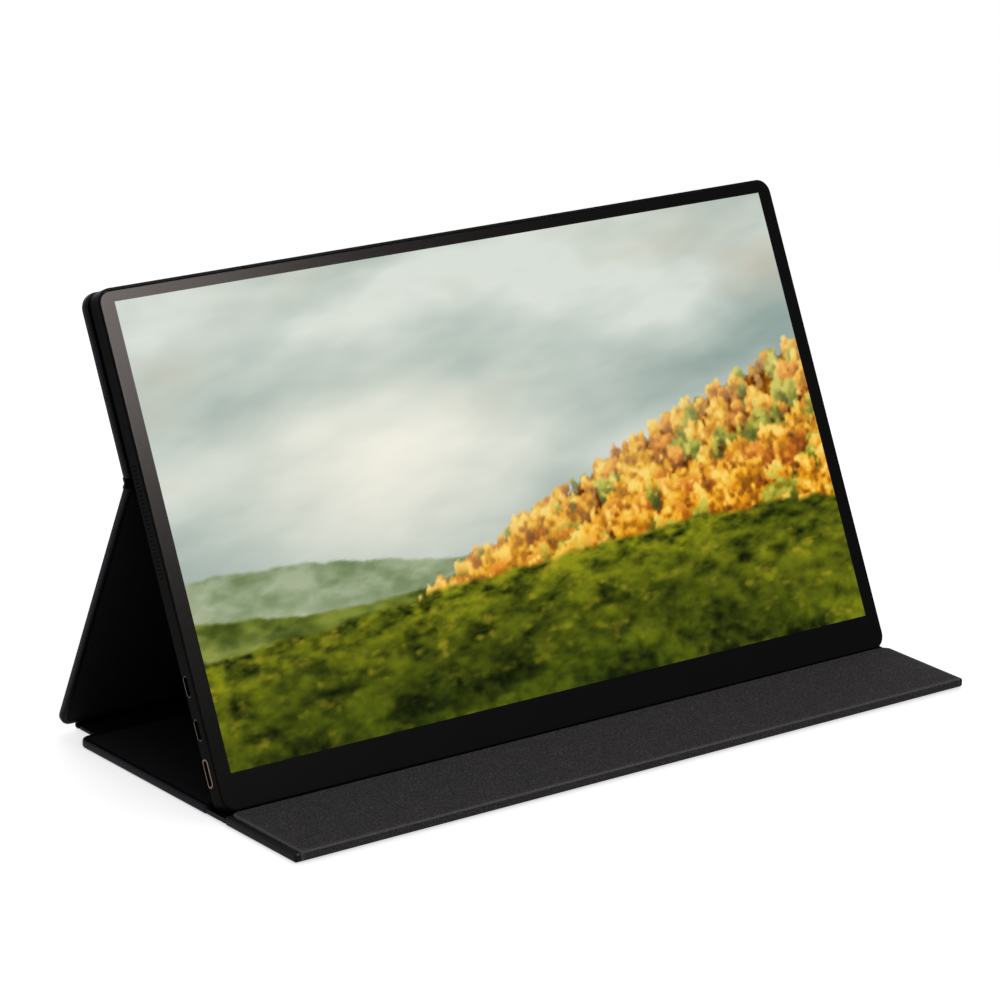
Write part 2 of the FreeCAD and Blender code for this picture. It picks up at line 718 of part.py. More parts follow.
def make_sockets():
    """Make the three sockets on the left edge: metal mouth, closed back and contact tongue."""
    mouth = f"(socket_recess - {DISPLAY_SIDE})"
    for name, long, place in SOCKETS:
        body = new_body(name)
        side_slot(body, f"{name}_case", "Pad", mouth, place, BOARD_TOP, long, "socket_high", "socket_depth")
        inner = f"({BOARD_TOP} + socket_wall)"
        side_slot(
            body, f"{name}_hollow", "Pocket", mouth, place, inner, f"{long} - 2 * socket_wall",
            "socket_high - 2 * socket_wall", "socket_depth - socket_back", back=True,
        )
        tongue_low = f"({BOARD_TOP} + socket_high / 2 - tongue_high / 2)"
        side_slot(
            body, f"{name}_tongue", "Pad", f"({mouth} + socket_depth - socket_back)", place, tongue_low,
            TONGUES[long], "tongue_high", "tongue_length", back=True,
        )
        keep("display", body)


def make_panel_stack():
    """Make the glass, its tape, the middle frame and the layers of the lit panel."""
    corner = f"display_corner - {GLASS_INSET}"
    glass = plate(
        "front_glass", f"display_width - 2 * {GLASS_INSET}", GLASS_INSET,
        f"(display_height - {GLASS_INSET})", GLASS_LOW, "glass_thick", corner, corner,
    )
    round_edges(glass, "glass_round", at_level("display_thick"))
    opening = (
        f"({CELL_WIDTH} + 2 * frame_opening_gap)",
        f"({CELL_FOOT} - frame_opening_gap)",
        f"({CELL_TOP} + frame_opening_gap)",
    )
    for name, inset, low, thick in (
        ("glass_tape", GLASS_INSET, TAPE_LOW, "tape_thick"),
        ("middle_frame", FRAME_INSET, FRAME_LOW, "frame_thick"),
    ):
        ring = plate(
            name, f"display_width - 2 * {inset}", inset, f"(display_height - {inset})", low, thick,
            f"display_corner - {inset}", f"display_corner - {inset}",
        )
        ring_top = f"({low} + {thick})"
        cut_window(ring, f"{name}_opening", *opening, ring_top, thick, "inner_corner", "inner_corner")
        keep("display", ring)
    whole = (CELL_WIDTH, CELL_FOOT, CELL_TOP)
    lit = (FILM_WIDTH, GUIDE_FOOT, FILM_TOP)
    for name, (width, foot, top), low, thick in (
        ("lcd_cell", whole, CELL_LOW, "cell_thick"),
        ("film_stack", lit, FILM_LOW, "film_thick"),
        ("light_guide", lit, GUIDE_LOW, "guide_thick"),
        ("reflector_sheet", lit, REFLECTOR_LOW, "reflector_thick"),
        ("backlight_tray", whole, TRAY_LOW, "tray_thick"),
    ):
        keep("display", plate(name, width, foot, top, low, thick, "sheet_corner", "sheet_corner"))
    reach = f"({ACTIVE_WIDTH} / 2 - led_end_inset)"
    rows = (f"{GUIDE_FOOT} - led_gap - led_width", f"{GUIDE_FOOT} - led_gap")
    led = box("led_bar", (f"-{reach}", reach), rows, (REFLECTOR_LOW, FILM_LOW))
    keep("display", glass, led)


def make_boards():
    """Make the main board with its chips, the panel's driver board, their ribbon and the screws."""
    board = plate_at("main_board", BOARD_LEFT, "board_width", "board_low", "board_height")
    keep("display", board)
    chips = []
    for index, (across, up) in enumerate(CHIP_SHARES):
        x = f"({BOARD_LEFT} + board_width * {across})"
        y = f"(board_low + board_height * {up})"
        span = (f"{x} - chip_side / 2", f"{x} + chip_side / 2")
        rows = (f"{y} - chip_side / 2", f"{y} + chip_side / 2")
        chips.append(box(f"board_chip_{index}", span, rows, (BOARD_TOP, f"{BOARD_TOP} + chip_thick")))
    half = "(driver_long / 2)"
    rows = ("driver_low", "driver_low + driver_high")
    driver = box("driver_board", (f"-{half}", half), rows, (f"{FRAME_LOW} - board_thick", FRAME_LOW))
    keep("display", group("board_chips", chips), driver, make_ribbon())
    screws = []
    for index, (x, y) in enumerate(screw_places()):
        head = cylinder(f"screw_head_{index}", "screw_head_radius", "screw_head_thick", x, y, BOARD_TOP)
        core = cylinder(
            f"screw_core_{index}", "screw_core_radius", "screw_length", x, y, f"{BOARD_TOP} - screw_length"
        )
        screws.append(fuse(f"screw_{index}", head, core))
    keep("display", group("small_screws", screws))


def plate_at(label, left, width, foot, height):
    """Make a board on the shell's bosses, with a hole for each screw that lands on it."""
    body = new_body(label)
    middle = f"({left} + {width} / 2)"
    sketch = new_sketch(body, f"{label}_outline", "XY_Plane", x=middle, y=foot, z=BOARD_LOW)
    rounded_rectangle(sketch, width, height, "sheet_corner", "sheet_corner")
    extrude(body, "Pad", sketch, "board_thick")
    inside = []
    for x, y in screw_places():
        across, up = value(x) - value(left), value(y) - value(foot)
        if 0 < across < value(width) and 0 < up < value(height):
            inside.append((x, y))
    holes = new_sketch(body, f"{label}_holes", "XY_Plane", z=BOARD_TOP)
    circles(holes, inside, "screw_core_radius + screw_gap")
    extrude(body, "Pocket", holes, "board_thick")
    return body


def make_ribbon():
    """Make the flat ribbon that drops from the driver board to the main board."""
    middle = f"({BOARD_LEFT} + board_width * {RIBBON_SHARE})"
    span = (f"{middle} - ribbon_width / 2", f"{middle} + ribbon_width / 2")
    top = f"({FRAME_LOW} - board_thick)"
    bend = "(board_low + ribbon_bend)"
    lap = f"({bend} + ribbon_lap)"
    start = f"({bend} - ribbon_thick)"
    lap_top = f"({BOARD_TOP} + ribbon_thick)"
    legs = [
        box("ribbon_upper", span, ("driver_low + driver_high / 2", bend), (f"{top} - ribbon_thick", top)),
        box("ribbon_drop", span, (start, bend), (BOARD_TOP, top)),
        box("ribbon_lower", span, (start, lap), (BOARD_TOP, lap_top)),
    ]
    ribbon = fuse("panel_ribbon", *legs)
    ribbon.Label = "panel_ribbon"
    return ribbon


def make_speakers():
    """Make the two side speakers with ears and cones, their foam gaskets and the pierced grilles."""
    gaskets = []
    for name, side in (("left", -1), ("right", 1)):
        middle = f"({side} * ({SPEAKER_FACE} - speaker_deep / 2))"
        keep("display", make_speaker(f"speaker_{name}", middle))
        gaskets.append(make_gasket(name, side))
        keep("display", make_grille(name, side))
    keep("display", group("speaker_gaskets", gaskets))


def make_speaker(label, middle):
    """Make one speaker: a rounded case on two ears, with an oval cone let into its upper face."""
    body = new_body(label)
    foot = "(speaker_place - speaker_long / 2)"
    case = new_sketch(body, f"{label}_case", "XY_Plane", x=middle, y=foot, z=BOARD_LOW)
    rounded_rectangle(case, "speaker_deep", "speaker_long", "speaker_corner", "speaker_corner")
    extrude(body, "Pad", case, "speaker_high")
    ear_foot = f"({foot} - speaker_ear)"
    ears = new_sketch(body, f"{label}_ears", "XY_Plane", x=middle, y=ear_foot, z=BOARD_LOW)
    ear_round = f"{SLOT_END_SHARE} * speaker_ear"
    rounded_rectangle(ears, "speaker_ear", "speaker_long + 2 * speaker_ear", ear_round, ear_round)
    extrude(body, "Pad", ears, "board_thick")
    cone = new_sketch(
        body, f"{label}_cone", "XY_Plane", x=middle, y="(speaker_place - cone_long / 2)",
        z=f"({BOARD_LOW} + speaker_high)",
    )
    cone_round = f"{SLOT_END_SHARE} * cone_wide"
    rounded_rectangle(cone, "cone_wide", "cone_long", cone_round, cone_round)
    extrude(body, "Pocket", cone, "cone_drop")
    holes = new_sketch(body, f"{label}_holes", "XY_Plane", z=BOARD_TOP)
    circles(
        holes, [(middle, f"speaker_place {way} {SPEAKER_EAR_REACH}") for way in "-+"],
        "screw_core_radius + screw_gap",
    )
    extrude(body, "Pocket", holes, "board_thick")
    return body


def make_gasket(name, side):
    """Make the foam ring between a speaker's face and the shell's wall."""
    near, far = f"({side} * {SPEAKER_FACE})", f"({side} * {WALL_INSIDE})"
    span = (far, near) if side < 0 else (near, far)
    low, high = f"({BOARD_TOP} + gasket_lift)", f"({BOARD_LOW} + speaker_high)"
    rows = ("speaker_place - speaker_long / 2", "speaker_place + speaker_long / 2")
    block = box(f"gasket_block_{name}", span, rows, (low, high))
    inner_rows = (f"{rows[0]} + gasket_wall", f"{rows[1]} - gasket_wall")
    inner = (f"{low} + gasket_wall", f"{high} - gasket_wall")
    hole = box(f"gasket_hole_{name}", (f"{span[0]} - overrun", f"{span[1]} + overrun"), inner_rows, inner)
    return cut(f"gasket_{name}", block, hole)


def make_grille(name, side):
    """Make one pierced strip that fills the slot in a side wall."""
    label = f"speaker_grille_{name}"
    body = new_body(label)
    start = f"(-{DISPLAY_SIDE})" if side < 0 else f"({DISPLAY_SIDE} - grille_thick)"
    side_slot(
        body, f"{label}_strip", "Pad", start, "speaker_place", f"({GRILLE_LOW} + grille_gap)",
        "grille_long - 2 * grille_gap", "grille_wide - 2 * grille_gap", "grille_thick",
    )
    column = new_sketch(
        body, f"{label}_column", "YZ_Plane", y=f"({GRILLE_LOW} + grille_wide / 2)",
        x=f"(speaker_place - hole_pitch * {(GRILLE_HOLES - 1) / 2})", z=f"({start} - overrun)",
    )
    rows = [f"hole_row_gap * {row - (GRILLE_ROWS - 1) / 2}" for row in range(GRILLE_ROWS)]
    circles(column, [("0", row) for row in rows], "hole_radius")
    holes = extrude(body, "Pocket", column, "grille_thick + 2 * overrun", back=True)
    pattern = body.newObject("PartDesign::LinearPattern", f"{label}_holes")
    pattern.Originals = [holes]
    pattern.Direction = (column, ["H_Axis"])
    pattern.Occurrences = GRILLE_HOLES
    pattern.setExpression("Length", size(f"hole_pitch * {GRILLE_HOLES - 1}"))
    body.Tip = pattern
    return body


def make_buttons():
    """Make the three edge buttons, the switches behind them and their board."""
    board = plate_at(
        "button_board", f"({KEY_BOARD_RIGHT} - button_board_deep)", "button_board_deep",
        f"({KEY_ROW_MIDDLE} - button_board_long / 2)", "button_board_long",
    )
    switches = []
    for index, label in enumerate(BUTTONS):
        body = new_body(label)
        side_slot(
            body, f"{label}_cap", "Pad", KEY_FLANGE_IN, key_place(index), KEY_LOW, "button_long",
            "button_wide", f"{KEY_OUTSIDE} - {KEY_FLANGE_IN}",
        )
        side_slot(
            body, f"{label}_flange", "Pad", KEY_FLANGE_IN, key_place(index), KEY_LOW,
            "button_long + 2 * button_flange", "button_wide", "button_flange_thick",
        )
        keep("display", body)
        switches.append(make_switch(index))
    keep("display", board, group("button_switches", switches))


def make_switch(index):
    """Make one side switch on the button board, with its plunger behind the button."""
    place = key_place(index)
    rows = (f"{place} - switch_side / 2", f"{place} + switch_side / 2")
    case = box(
        f"switch_case_{index}", (f"{SWITCH_FRONT} - switch_side", SWITCH_FRONT), rows,
        (BOARD_TOP, f"{BOARD_TOP} + switch_high"),
    )
    middle = f"({KEY_LOW} + button_wide / 2)"
    plunger = box(
        f"switch_plunger_{index}", (SWITCH_FRONT, SWITCH_TIP),
        (f"{place} - plunger_long / 2", f"{place} + plunger_long / 2"),
        (f"{middle} - plunger_wide / 2", f"{middle} + plunger_wide / 2"),
    )
    return fuse(f"switch_{index}", case, plunger)


def place_at_rest():
    """Put each frame where it rests: the base on the table, the strut and the display leaning."""
    across = FreeCAD.Vector(1, 0, 0)
    shift = value(FRAME_SHIFT)
    strut_turn = FreeCAD.Rotation(across, value(STRUT_TURN))
    display_turn = FreeCAD.Rotation(across, 90 - value("display_lean"))
    rear_axis = FreeCAD.Vector(0, value(REAR_AXIS_Y) + shift, value(AXIS_HEIGHT))
    foot = FreeCAD.Vector(0, shift, value(FOOT_LEVEL))
    to_axis = FreeCAD.Vector(0, 0, value(AXIS_HEIGHT))
    to_front = FreeCAD.Vector(0, 0, value("display_thick"))
    flat = FreeCAD.Placement(FreeCAD.Vector(0, shift, 0), FreeCAD.Rotation())
    frames = {
        "base": flat,
        "flap": flat,
        "strut": FreeCAD.Placement(rear_axis - strut_turn.multVec(to_axis), strut_turn),
        "display": FreeCAD.Placement(foot - display_turn.multVec(to_front), display_turn),
    }
    for frame, members in pieces.items():
        for piece in members:
            for prop, _ in list(piece.ExpressionEngine):
                if prop.startswith("Placement") or prop.startswith(".Placement"):
                    piece.setExpression(prop, None)
            piece.Placement = frames[frame] * piece.Placement


def check_document():
    """Stop if an object failed, a cut removed nothing or a piece has no sound solid."""
    for item in doc.Objects:
        if "Invalid" in item.State or "Error" in item.State:
            raise RuntimeError(f"{item.Name} did not build: {item.State}")
        if item.TypeId in ("PartDesign::Pocket", "PartDesign::SubtractiveLoft"):
            if item.Shape.Volume >= item.BaseFeature.Shape.Volume:
                raise RuntimeError(f"{item.Name} cuts nothing")
    for members in pieces.values():
        for piece in members:
            if piece.Shape.isNull() or not piece.Shape.isValid() or not piece.Shape.Solids:
                raise RuntimeError(f"{piece.Label} has no sound solid")


def write_pieces():
    """Write each piece to a file of its own, named after it."""
    os.makedirs("parts", exist_ok=True)
    for members in pieces.values():
        for piece in members:
            piece.Shape.exportStep(f"parts/{piece.Label}.step")


fill_sheet()
make_cover()
make_shell()
make_sockets()
make_panel_stack()
make_boards()
make_speakers()
make_buttons()
doc.recompute()
place_at_rest()
doc.recompute()
check_document()
write_pieces()
for name, line in (
    ("rear axis", f"{REAR_AXIS_Y} + {FRAME_SHIFT}"),
    ("back axis", f"{BACK_AXIS_Y} + {FRAME_SHIFT}"),
    ("back axis rise", f"{BACK_AXIS_RISE} + {AXIS_HEIGHT}"),
    ("base axis", f"{BASE_AXIS_Y} + {FRAME_SHIFT}"),
    ("flap axis", f"{FLAP_AXIS_Y} + {FRAME_SHIFT}"),
    ("axis height", AXIS_HEIGHT),
    ("strut turn", STRUT_TURN),
    ("back turn", BACK_TURN),
    ("shift", FRAME_SHIFT),
    ("foot level", FOOT_LEVEL),
):
    print(f"{name}: {value(line):.4f}")
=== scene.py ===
"""Looks of the portable monitor in its folding cover: soft pieces, picture, finishes and studio.

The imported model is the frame. Each sub-assembly is a class that builds its own meshes, in millimetres
in the flat frame that it was drawn in, and dresses the CAD nodes that keep showing.
"""
import json
import logging
import math
from dataclasses import dataclass
from enum import Enum

import bpy
import numpy as np
from mathutils import Matrix, Vector
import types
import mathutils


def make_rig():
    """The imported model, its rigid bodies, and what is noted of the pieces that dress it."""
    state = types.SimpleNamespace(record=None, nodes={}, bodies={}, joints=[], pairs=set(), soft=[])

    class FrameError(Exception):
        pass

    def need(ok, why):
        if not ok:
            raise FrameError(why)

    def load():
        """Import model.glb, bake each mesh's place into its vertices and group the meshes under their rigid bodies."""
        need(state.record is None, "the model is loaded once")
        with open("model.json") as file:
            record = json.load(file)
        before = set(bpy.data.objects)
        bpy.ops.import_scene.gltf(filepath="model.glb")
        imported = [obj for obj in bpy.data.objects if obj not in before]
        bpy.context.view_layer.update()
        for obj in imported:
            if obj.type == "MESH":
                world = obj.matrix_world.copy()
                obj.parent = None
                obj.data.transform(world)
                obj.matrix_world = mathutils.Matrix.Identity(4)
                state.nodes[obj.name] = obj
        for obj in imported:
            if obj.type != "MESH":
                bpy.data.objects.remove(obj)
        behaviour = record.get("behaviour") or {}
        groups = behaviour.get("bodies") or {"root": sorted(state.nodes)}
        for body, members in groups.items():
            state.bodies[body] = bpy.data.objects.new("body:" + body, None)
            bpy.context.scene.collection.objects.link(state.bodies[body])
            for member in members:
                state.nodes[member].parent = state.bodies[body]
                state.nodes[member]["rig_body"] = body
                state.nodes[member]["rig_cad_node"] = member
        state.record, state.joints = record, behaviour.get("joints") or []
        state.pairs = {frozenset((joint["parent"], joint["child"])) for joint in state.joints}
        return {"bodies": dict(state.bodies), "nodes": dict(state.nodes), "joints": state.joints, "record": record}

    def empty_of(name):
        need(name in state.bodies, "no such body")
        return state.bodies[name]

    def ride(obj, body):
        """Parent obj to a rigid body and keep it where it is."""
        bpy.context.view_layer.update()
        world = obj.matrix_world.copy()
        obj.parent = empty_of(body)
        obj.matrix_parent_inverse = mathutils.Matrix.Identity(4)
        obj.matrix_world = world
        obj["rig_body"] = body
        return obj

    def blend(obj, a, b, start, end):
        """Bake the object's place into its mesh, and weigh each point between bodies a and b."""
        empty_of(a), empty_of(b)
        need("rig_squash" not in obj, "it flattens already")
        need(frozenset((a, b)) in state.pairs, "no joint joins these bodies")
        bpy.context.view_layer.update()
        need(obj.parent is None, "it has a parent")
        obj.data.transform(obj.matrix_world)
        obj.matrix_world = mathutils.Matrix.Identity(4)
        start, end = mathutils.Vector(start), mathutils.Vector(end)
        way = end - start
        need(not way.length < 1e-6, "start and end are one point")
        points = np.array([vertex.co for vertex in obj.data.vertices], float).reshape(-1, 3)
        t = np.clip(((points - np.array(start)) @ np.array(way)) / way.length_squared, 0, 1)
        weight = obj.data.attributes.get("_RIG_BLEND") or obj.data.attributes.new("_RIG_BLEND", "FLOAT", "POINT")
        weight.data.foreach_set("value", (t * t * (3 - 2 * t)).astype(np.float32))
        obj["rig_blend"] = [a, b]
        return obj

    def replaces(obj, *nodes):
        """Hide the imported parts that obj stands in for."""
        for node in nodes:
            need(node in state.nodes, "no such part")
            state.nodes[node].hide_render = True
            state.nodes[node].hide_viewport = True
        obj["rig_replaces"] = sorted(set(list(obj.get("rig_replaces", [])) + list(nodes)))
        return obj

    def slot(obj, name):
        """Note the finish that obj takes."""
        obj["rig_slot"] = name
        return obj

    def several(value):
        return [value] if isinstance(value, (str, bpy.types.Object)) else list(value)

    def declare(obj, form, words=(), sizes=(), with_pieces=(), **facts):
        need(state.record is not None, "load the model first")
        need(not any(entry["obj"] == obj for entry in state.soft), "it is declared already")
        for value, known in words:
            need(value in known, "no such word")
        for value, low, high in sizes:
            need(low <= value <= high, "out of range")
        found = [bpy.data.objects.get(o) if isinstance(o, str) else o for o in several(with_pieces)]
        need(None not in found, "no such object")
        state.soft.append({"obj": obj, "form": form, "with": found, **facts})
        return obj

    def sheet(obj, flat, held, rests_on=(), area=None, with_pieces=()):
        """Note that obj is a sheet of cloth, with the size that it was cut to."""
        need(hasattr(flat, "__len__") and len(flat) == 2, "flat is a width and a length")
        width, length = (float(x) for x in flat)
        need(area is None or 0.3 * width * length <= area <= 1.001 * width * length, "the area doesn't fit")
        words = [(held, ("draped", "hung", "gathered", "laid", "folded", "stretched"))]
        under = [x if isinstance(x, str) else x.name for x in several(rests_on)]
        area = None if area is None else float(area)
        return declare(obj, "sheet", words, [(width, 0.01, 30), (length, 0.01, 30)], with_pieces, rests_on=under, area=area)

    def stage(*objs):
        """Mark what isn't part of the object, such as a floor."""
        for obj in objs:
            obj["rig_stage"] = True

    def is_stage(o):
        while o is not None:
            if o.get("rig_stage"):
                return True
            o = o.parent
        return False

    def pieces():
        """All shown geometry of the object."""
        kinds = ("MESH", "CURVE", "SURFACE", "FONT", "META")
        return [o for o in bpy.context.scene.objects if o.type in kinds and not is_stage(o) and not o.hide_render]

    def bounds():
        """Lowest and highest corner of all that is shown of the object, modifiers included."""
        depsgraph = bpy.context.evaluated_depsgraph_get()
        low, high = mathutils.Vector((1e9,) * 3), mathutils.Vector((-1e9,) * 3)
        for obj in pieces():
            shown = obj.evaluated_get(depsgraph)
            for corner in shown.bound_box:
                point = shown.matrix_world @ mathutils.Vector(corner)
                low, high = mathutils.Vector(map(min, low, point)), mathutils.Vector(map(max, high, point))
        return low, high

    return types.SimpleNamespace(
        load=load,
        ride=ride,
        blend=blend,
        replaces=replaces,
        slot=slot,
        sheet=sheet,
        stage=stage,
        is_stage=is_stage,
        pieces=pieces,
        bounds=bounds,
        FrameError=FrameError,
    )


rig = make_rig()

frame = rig.load()
CAD_BOX = [list(corner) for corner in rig.bounds()]

MM = 0.001
SIZE_FILE = "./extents.json"
log = logging.getLogger("portable_monitor")

Tree = bpy.types.NodeTree
Socket = bpy.types.NodeSocket
Sockets = dict[str | int, Socket]
Profile = list[tuple[float, float]]
Faces = list[list[int]]

# Fibres of brushed or woven cloth scatter light softly
SHEEN_ROUGHNESS = 0.6
# Faces that meet at more than a rounded corner's step keep a crisp edge
CRISP_ANGLE = math.radians(38)
# Parts of a rounded corner's quarter turn, and the points of a ring with four such corners
CORNER_STEPS = 10
RING_POINTS = 4 * (CORNER_STEPS + 1)


def linear(colour: str | np.ndarray) -> np.ndarray:
    """Turn sRGB to linear light: c / 12.92 below 0.04045, else ((c + 0.055) / 1.055) ** 2.4.

    Args:
        colour: A hex text such as "#17181C", or an array of sRGB values from 0 to 1.

    Returns:
        The linear values, in the shape of the input.
    """
    if isinstance(colour, str):
        colour = srgb(colour)
    return np.where(colour <= 0.04045, colour / 12.92, ((colour + 0.055) / 1.055) ** 2.4)


def srgb(text: str) -> np.ndarray:
    """Read a hex text as three sRGB values from 0 to 1."""
    return np.array([int(text[i:i + 2], 16) for i in (1, 3, 5)], float) / 255


def rgba(text: str) -> tuple[float, float, float, float]:
    """Give a hex colour as the linear RGBA that a socket takes."""
    return (*linear(text), 1.0)


def wire(
    tree: Tree, node: bpy.types.Node, values: dict | None = None, links: Sockets | None = None
) -> bpy.types.Node:
    """Set a node's inputs and feed them.

    Args:
        tree: The node tree that holds it.
        node: The node.
        values: Input name or number to the value set on that socket.
        links: Input name or number to the output that feeds it.

    Returns:
        The node.
    """
    for key, value in (values or {}).items():
        node.inputs[key].default_value = value
    for key, socket in (links or {}).items():
        tree.links.new(socket, node.inputs[key])
    return node


def add_node(
    tree: Tree, kind: str, values: dict | None = None, links: Sockets | None = None, **attributes: object
) -> bpy.types.Node:
    """Add a node with its settings and links.

    Args:
        tree: The node tree that gets it.
        kind: The node's type name.
        values: Input name or number to the value set on that socket.
        links: Input name or number to the output that feeds it.
        **attributes: Settings of the node itself.

    Returns:
        The new node.
    """
    made = tree.nodes.new(kind)
    for key, value in attributes.items():
        setattr(made, key, value)
    return wire(tree, made, values, links)


def compute(tree: Tree, operation: str, *terms: Socket) -> Socket:
    """Add a Math node that works on other nodes' outputs, and give its result."""
    links = dict(enumerate(terms))
    return add_node(tree, "ShaderNodeMath", {}, links, operation=operation).outputs[0]


def remap(
    tree: Tree,
    value: Socket,
    source: tuple[float, float] = (0.0, 1.0),
    target: tuple[float, float] = (0.0, 1.0),
    **attributes: object,
) -> Socket:
    """Add a Map Range node.

    Args:
        tree: The node tree that gets it.
        value: The output that it maps.
        source: Two values that go to the target's two; what lies beyond them is held there.
        target: The target's two values.
        **attributes: Settings of the node itself.

    Returns:
        The mapped value.
    """
    limits = dict(zip(("From Min", "From Max", "To Min", "To Max"), (*source, *target)))
    return add_node(tree, "ShaderNodeMapRange", limits, {"Value": value}, **attributes).outputs[0]


def mottle(tree: Tree, place: Socket, scale: float, detail: float = 2.0) -> Socket:
    """Add a noise of so many cells to a metre, and give its value."""
    values = {"Scale": scale, "Detail": detail}
    return add_node(tree, "ShaderNodeTexNoise", values, {"Vector": place}).outputs["Fac"]


def seen_directly(tree: Tree) -> Socket:
    """Tell rays that show the background to the eye, straight or in a mirror or glass, from lighting rays.

    Args:
        tree: The node tree that asks.

    Returns:
        1 for camera, glossy and transmission rays, else 0.
    """
    path = add_node(tree, "ShaderNodeLightPath").outputs
    seen = path["Is Camera Ray"]
    for other in ("Is Glossy Ray", "Is Transmission Ray"):
        seen = compute(tree, "MAXIMUM", seen, path[other])
    return seen


def new_material(name: str) -> tuple[bpy.types.Material, Tree, bpy.types.Node]:
    """Make a node material, and give it with its tree and its Principled shader."""
    made = bpy.data.materials.new(name)
    made.use_nodes = True
    return made, made.node_tree, made.node_tree.nodes["Principled BSDF"]


def add_object(name: str, data: bpy.types.ID) -> bpy.types.Object:
    """Put an object with this data in the scene."""
    made = bpy.data.objects.new(name, data)
    bpy.context.scene.collection.objects.link(made)
    return made


class Pattern(Enum):
    """What the surface shows up close."""

    GRAIN = "pebbled grain of coated leather"
    WEAVE = "crossing threads with pale fibre specks"
    MOULDED = "fine spark-eroded or painted texture"
    BRUSHED = "long scratches along X"
    TRACES = "copper runs under a solder mask"
    # The dark inside of an opening is painted shade.
    MOUTH_PAINTED_SHADE = "bright rim that turns dark inside"


@dataclass(frozen=True)
class Finish:
    """One real material and how its surface was made.

    Attributes:
        name: Common name of the material.
        base: Main colour, sRGB hex.
        second: Colour of the pattern's other half, sRGB hex.
        pattern: What the surface shows up close.
        pitch: Real size of one grain, thread or speck, in mm.
        relief: Depth of the pattern, in mm.
        rough: Middle roughness.
        rough_spread: How far the pattern moves the roughness to each side.
        metallic: 1 for bare metal.
        specular: Specular level of a coating or plastic.
        sheen: Fibre sheen of cloth.
        worn_and_highlit: Colour of the edges that the rim attribute marks, sRGB hex: wear, and a painted highlight.
        painted_shade_depths: Distances from the middle plane, in mm, where the painted shade inside an opening starts
            and where it is full.
    """

    name: str
    base: str
    second: str
    pattern: Pattern
    pitch: float
    relief: float
    rough: float
    rough_spread: float = 0.06
    metallic: float = 0.0
    specular: float = 0.5
    sheen: float = 0.0
    worn_and_highlit: str = ""
    painted_shade_depths: tuple[float, float] = (0.0, 0.0)

    def material(self) -> bpy.types.Material:
        """Make the material once, and give it again when it is asked for later.

        Returns:
            The node material.
        """
        known = bpy.data.materials.get(self.name)
        if known:
            return known
        made, tree, shader = new_material(self.name)
        place = add_node(tree, "ShaderNodeTexCoord").outputs["Object"]
        height, tone = self.surface(tree, place)
        colour = add_node(
            tree, "ShaderNodeMix", {6: rgba(self.base), 7: rgba(self.second)}, {0: tone}, data_type="RGBA"
        ).outputs[2]
        # The edges that the rim attribute marks are painted paler: wear, and a painted highlight.
        if self.worn_and_highlit:
            rim = add_node(tree, "ShaderNodeAttribute", attribute_name="rim").outputs["Fac"]
            rub_and_highlight = compute(tree, "MULTIPLY", rim, height)
            colour = add_node(
                tree, "ShaderNodeMix", {7: rgba(self.worn_and_highlit)}, {0: rub_and_highlight, 6: colour}, data_type="RGBA"
            ).outputs[2]
        dull = remap(tree, tone, target=(self.rough - self.rough_spread, self.rough + self.rough_spread))
        bump = add_node(tree, "ShaderNodeBump", {"Distance": self.relief * MM}, {"Height": height})
        values = {"Metallic": self.metallic}
        if not self.metallic:
            values["Specular IOR Level"] = self.specular
        if self.sheen:
            values |= {"Sheen Weight": self.sheen, "Sheen Roughness": SHEEN_ROUGHNESS}
        wire(tree, shader, values, {"Base Color": colour, "Roughness": dull, "Normal": bump.outputs[0]})
        return made

    def surface(self, tree: Tree, place: Socket) -> tuple[Socket, Socket]:
        """Lay the pattern out in real size.

        Args:
            tree: The material's node tree.
            place: Object coordinates, in metres.

        Returns:
            The height that the relief follows and the tone that mixes the two colours.
        """
        per_metre = 1 / (self.pitch * MM)
        # The broad noise is nine grains wide, and a field of copper runs four pitches
        broad_width, field_width, fuller = 9, 4, 3.0
        broad = mottle(tree, place, per_metre / broad_width, fuller)
        fine = mottle(tree, place, per_metre)
        if self.pattern is Pattern.GRAIN:
            cells = add_node(
                tree, "ShaderNodeTexVoronoi", {"Scale": per_metre, "Smoothness": 0.6}, {"Vector": place},
                feature="SMOOTH_F1",
            ).outputs["Distance"]
            # A cell is high in its middle and falls to its border
            height = remap(tree, cells, (0.0, 0.7), (1.0, 0.0))
            # The tone follows the cells' height as well as the broad mottle: the borders are painted darker as shade,
            # the middles paler.
            return height, compute(tree, "MULTIPLY", height, broad)
        if self.pattern is Pattern.WEAVE:
            return self.threads(tree, place, per_metre, fine, broad)
        if self.pattern is Pattern.BRUSHED:
            # A scratch is 25 times as long as it is wide
            drawn = add_node(tree, "ShaderNodeMapping", {"Scale": (0.04, 1.0, 1.0)}, {"Vector": place})
            scratch = mottle(tree, drawn.outputs[0], per_metre, fuller)
            return scratch, scratch
        if self.pattern is Pattern.TRACES:
            mask, copper = (0.0, 0.0, 0.0, 1.0), (1.0, 1.0, 1.0, 1.0)
            layout = {"Scale": per_metre / field_width, "Mortar Size": 0.03, "Mortar": copper}
            layout |= {"Color1": mask, "Color2": mask}
            runs = add_node(tree, "ShaderNodeTexBrick", layout, {"Vector": place}).outputs["Color"]
            return runs, runs
        if self.pattern is Pattern.MOUTH_PAINTED_SHADE:
            # The opening's own colour is painted darker with depth: painted shade in the hollow.
            across = add_node(tree, "ShaderNodeSeparateXYZ", {}, {0: place}).outputs["X"]
            start, dark = self.painted_shade_depths
            return fine, remap(tree, compute(tree, "ABSOLUTE", across), (start * MM, dark * MM))
        return fine, broad

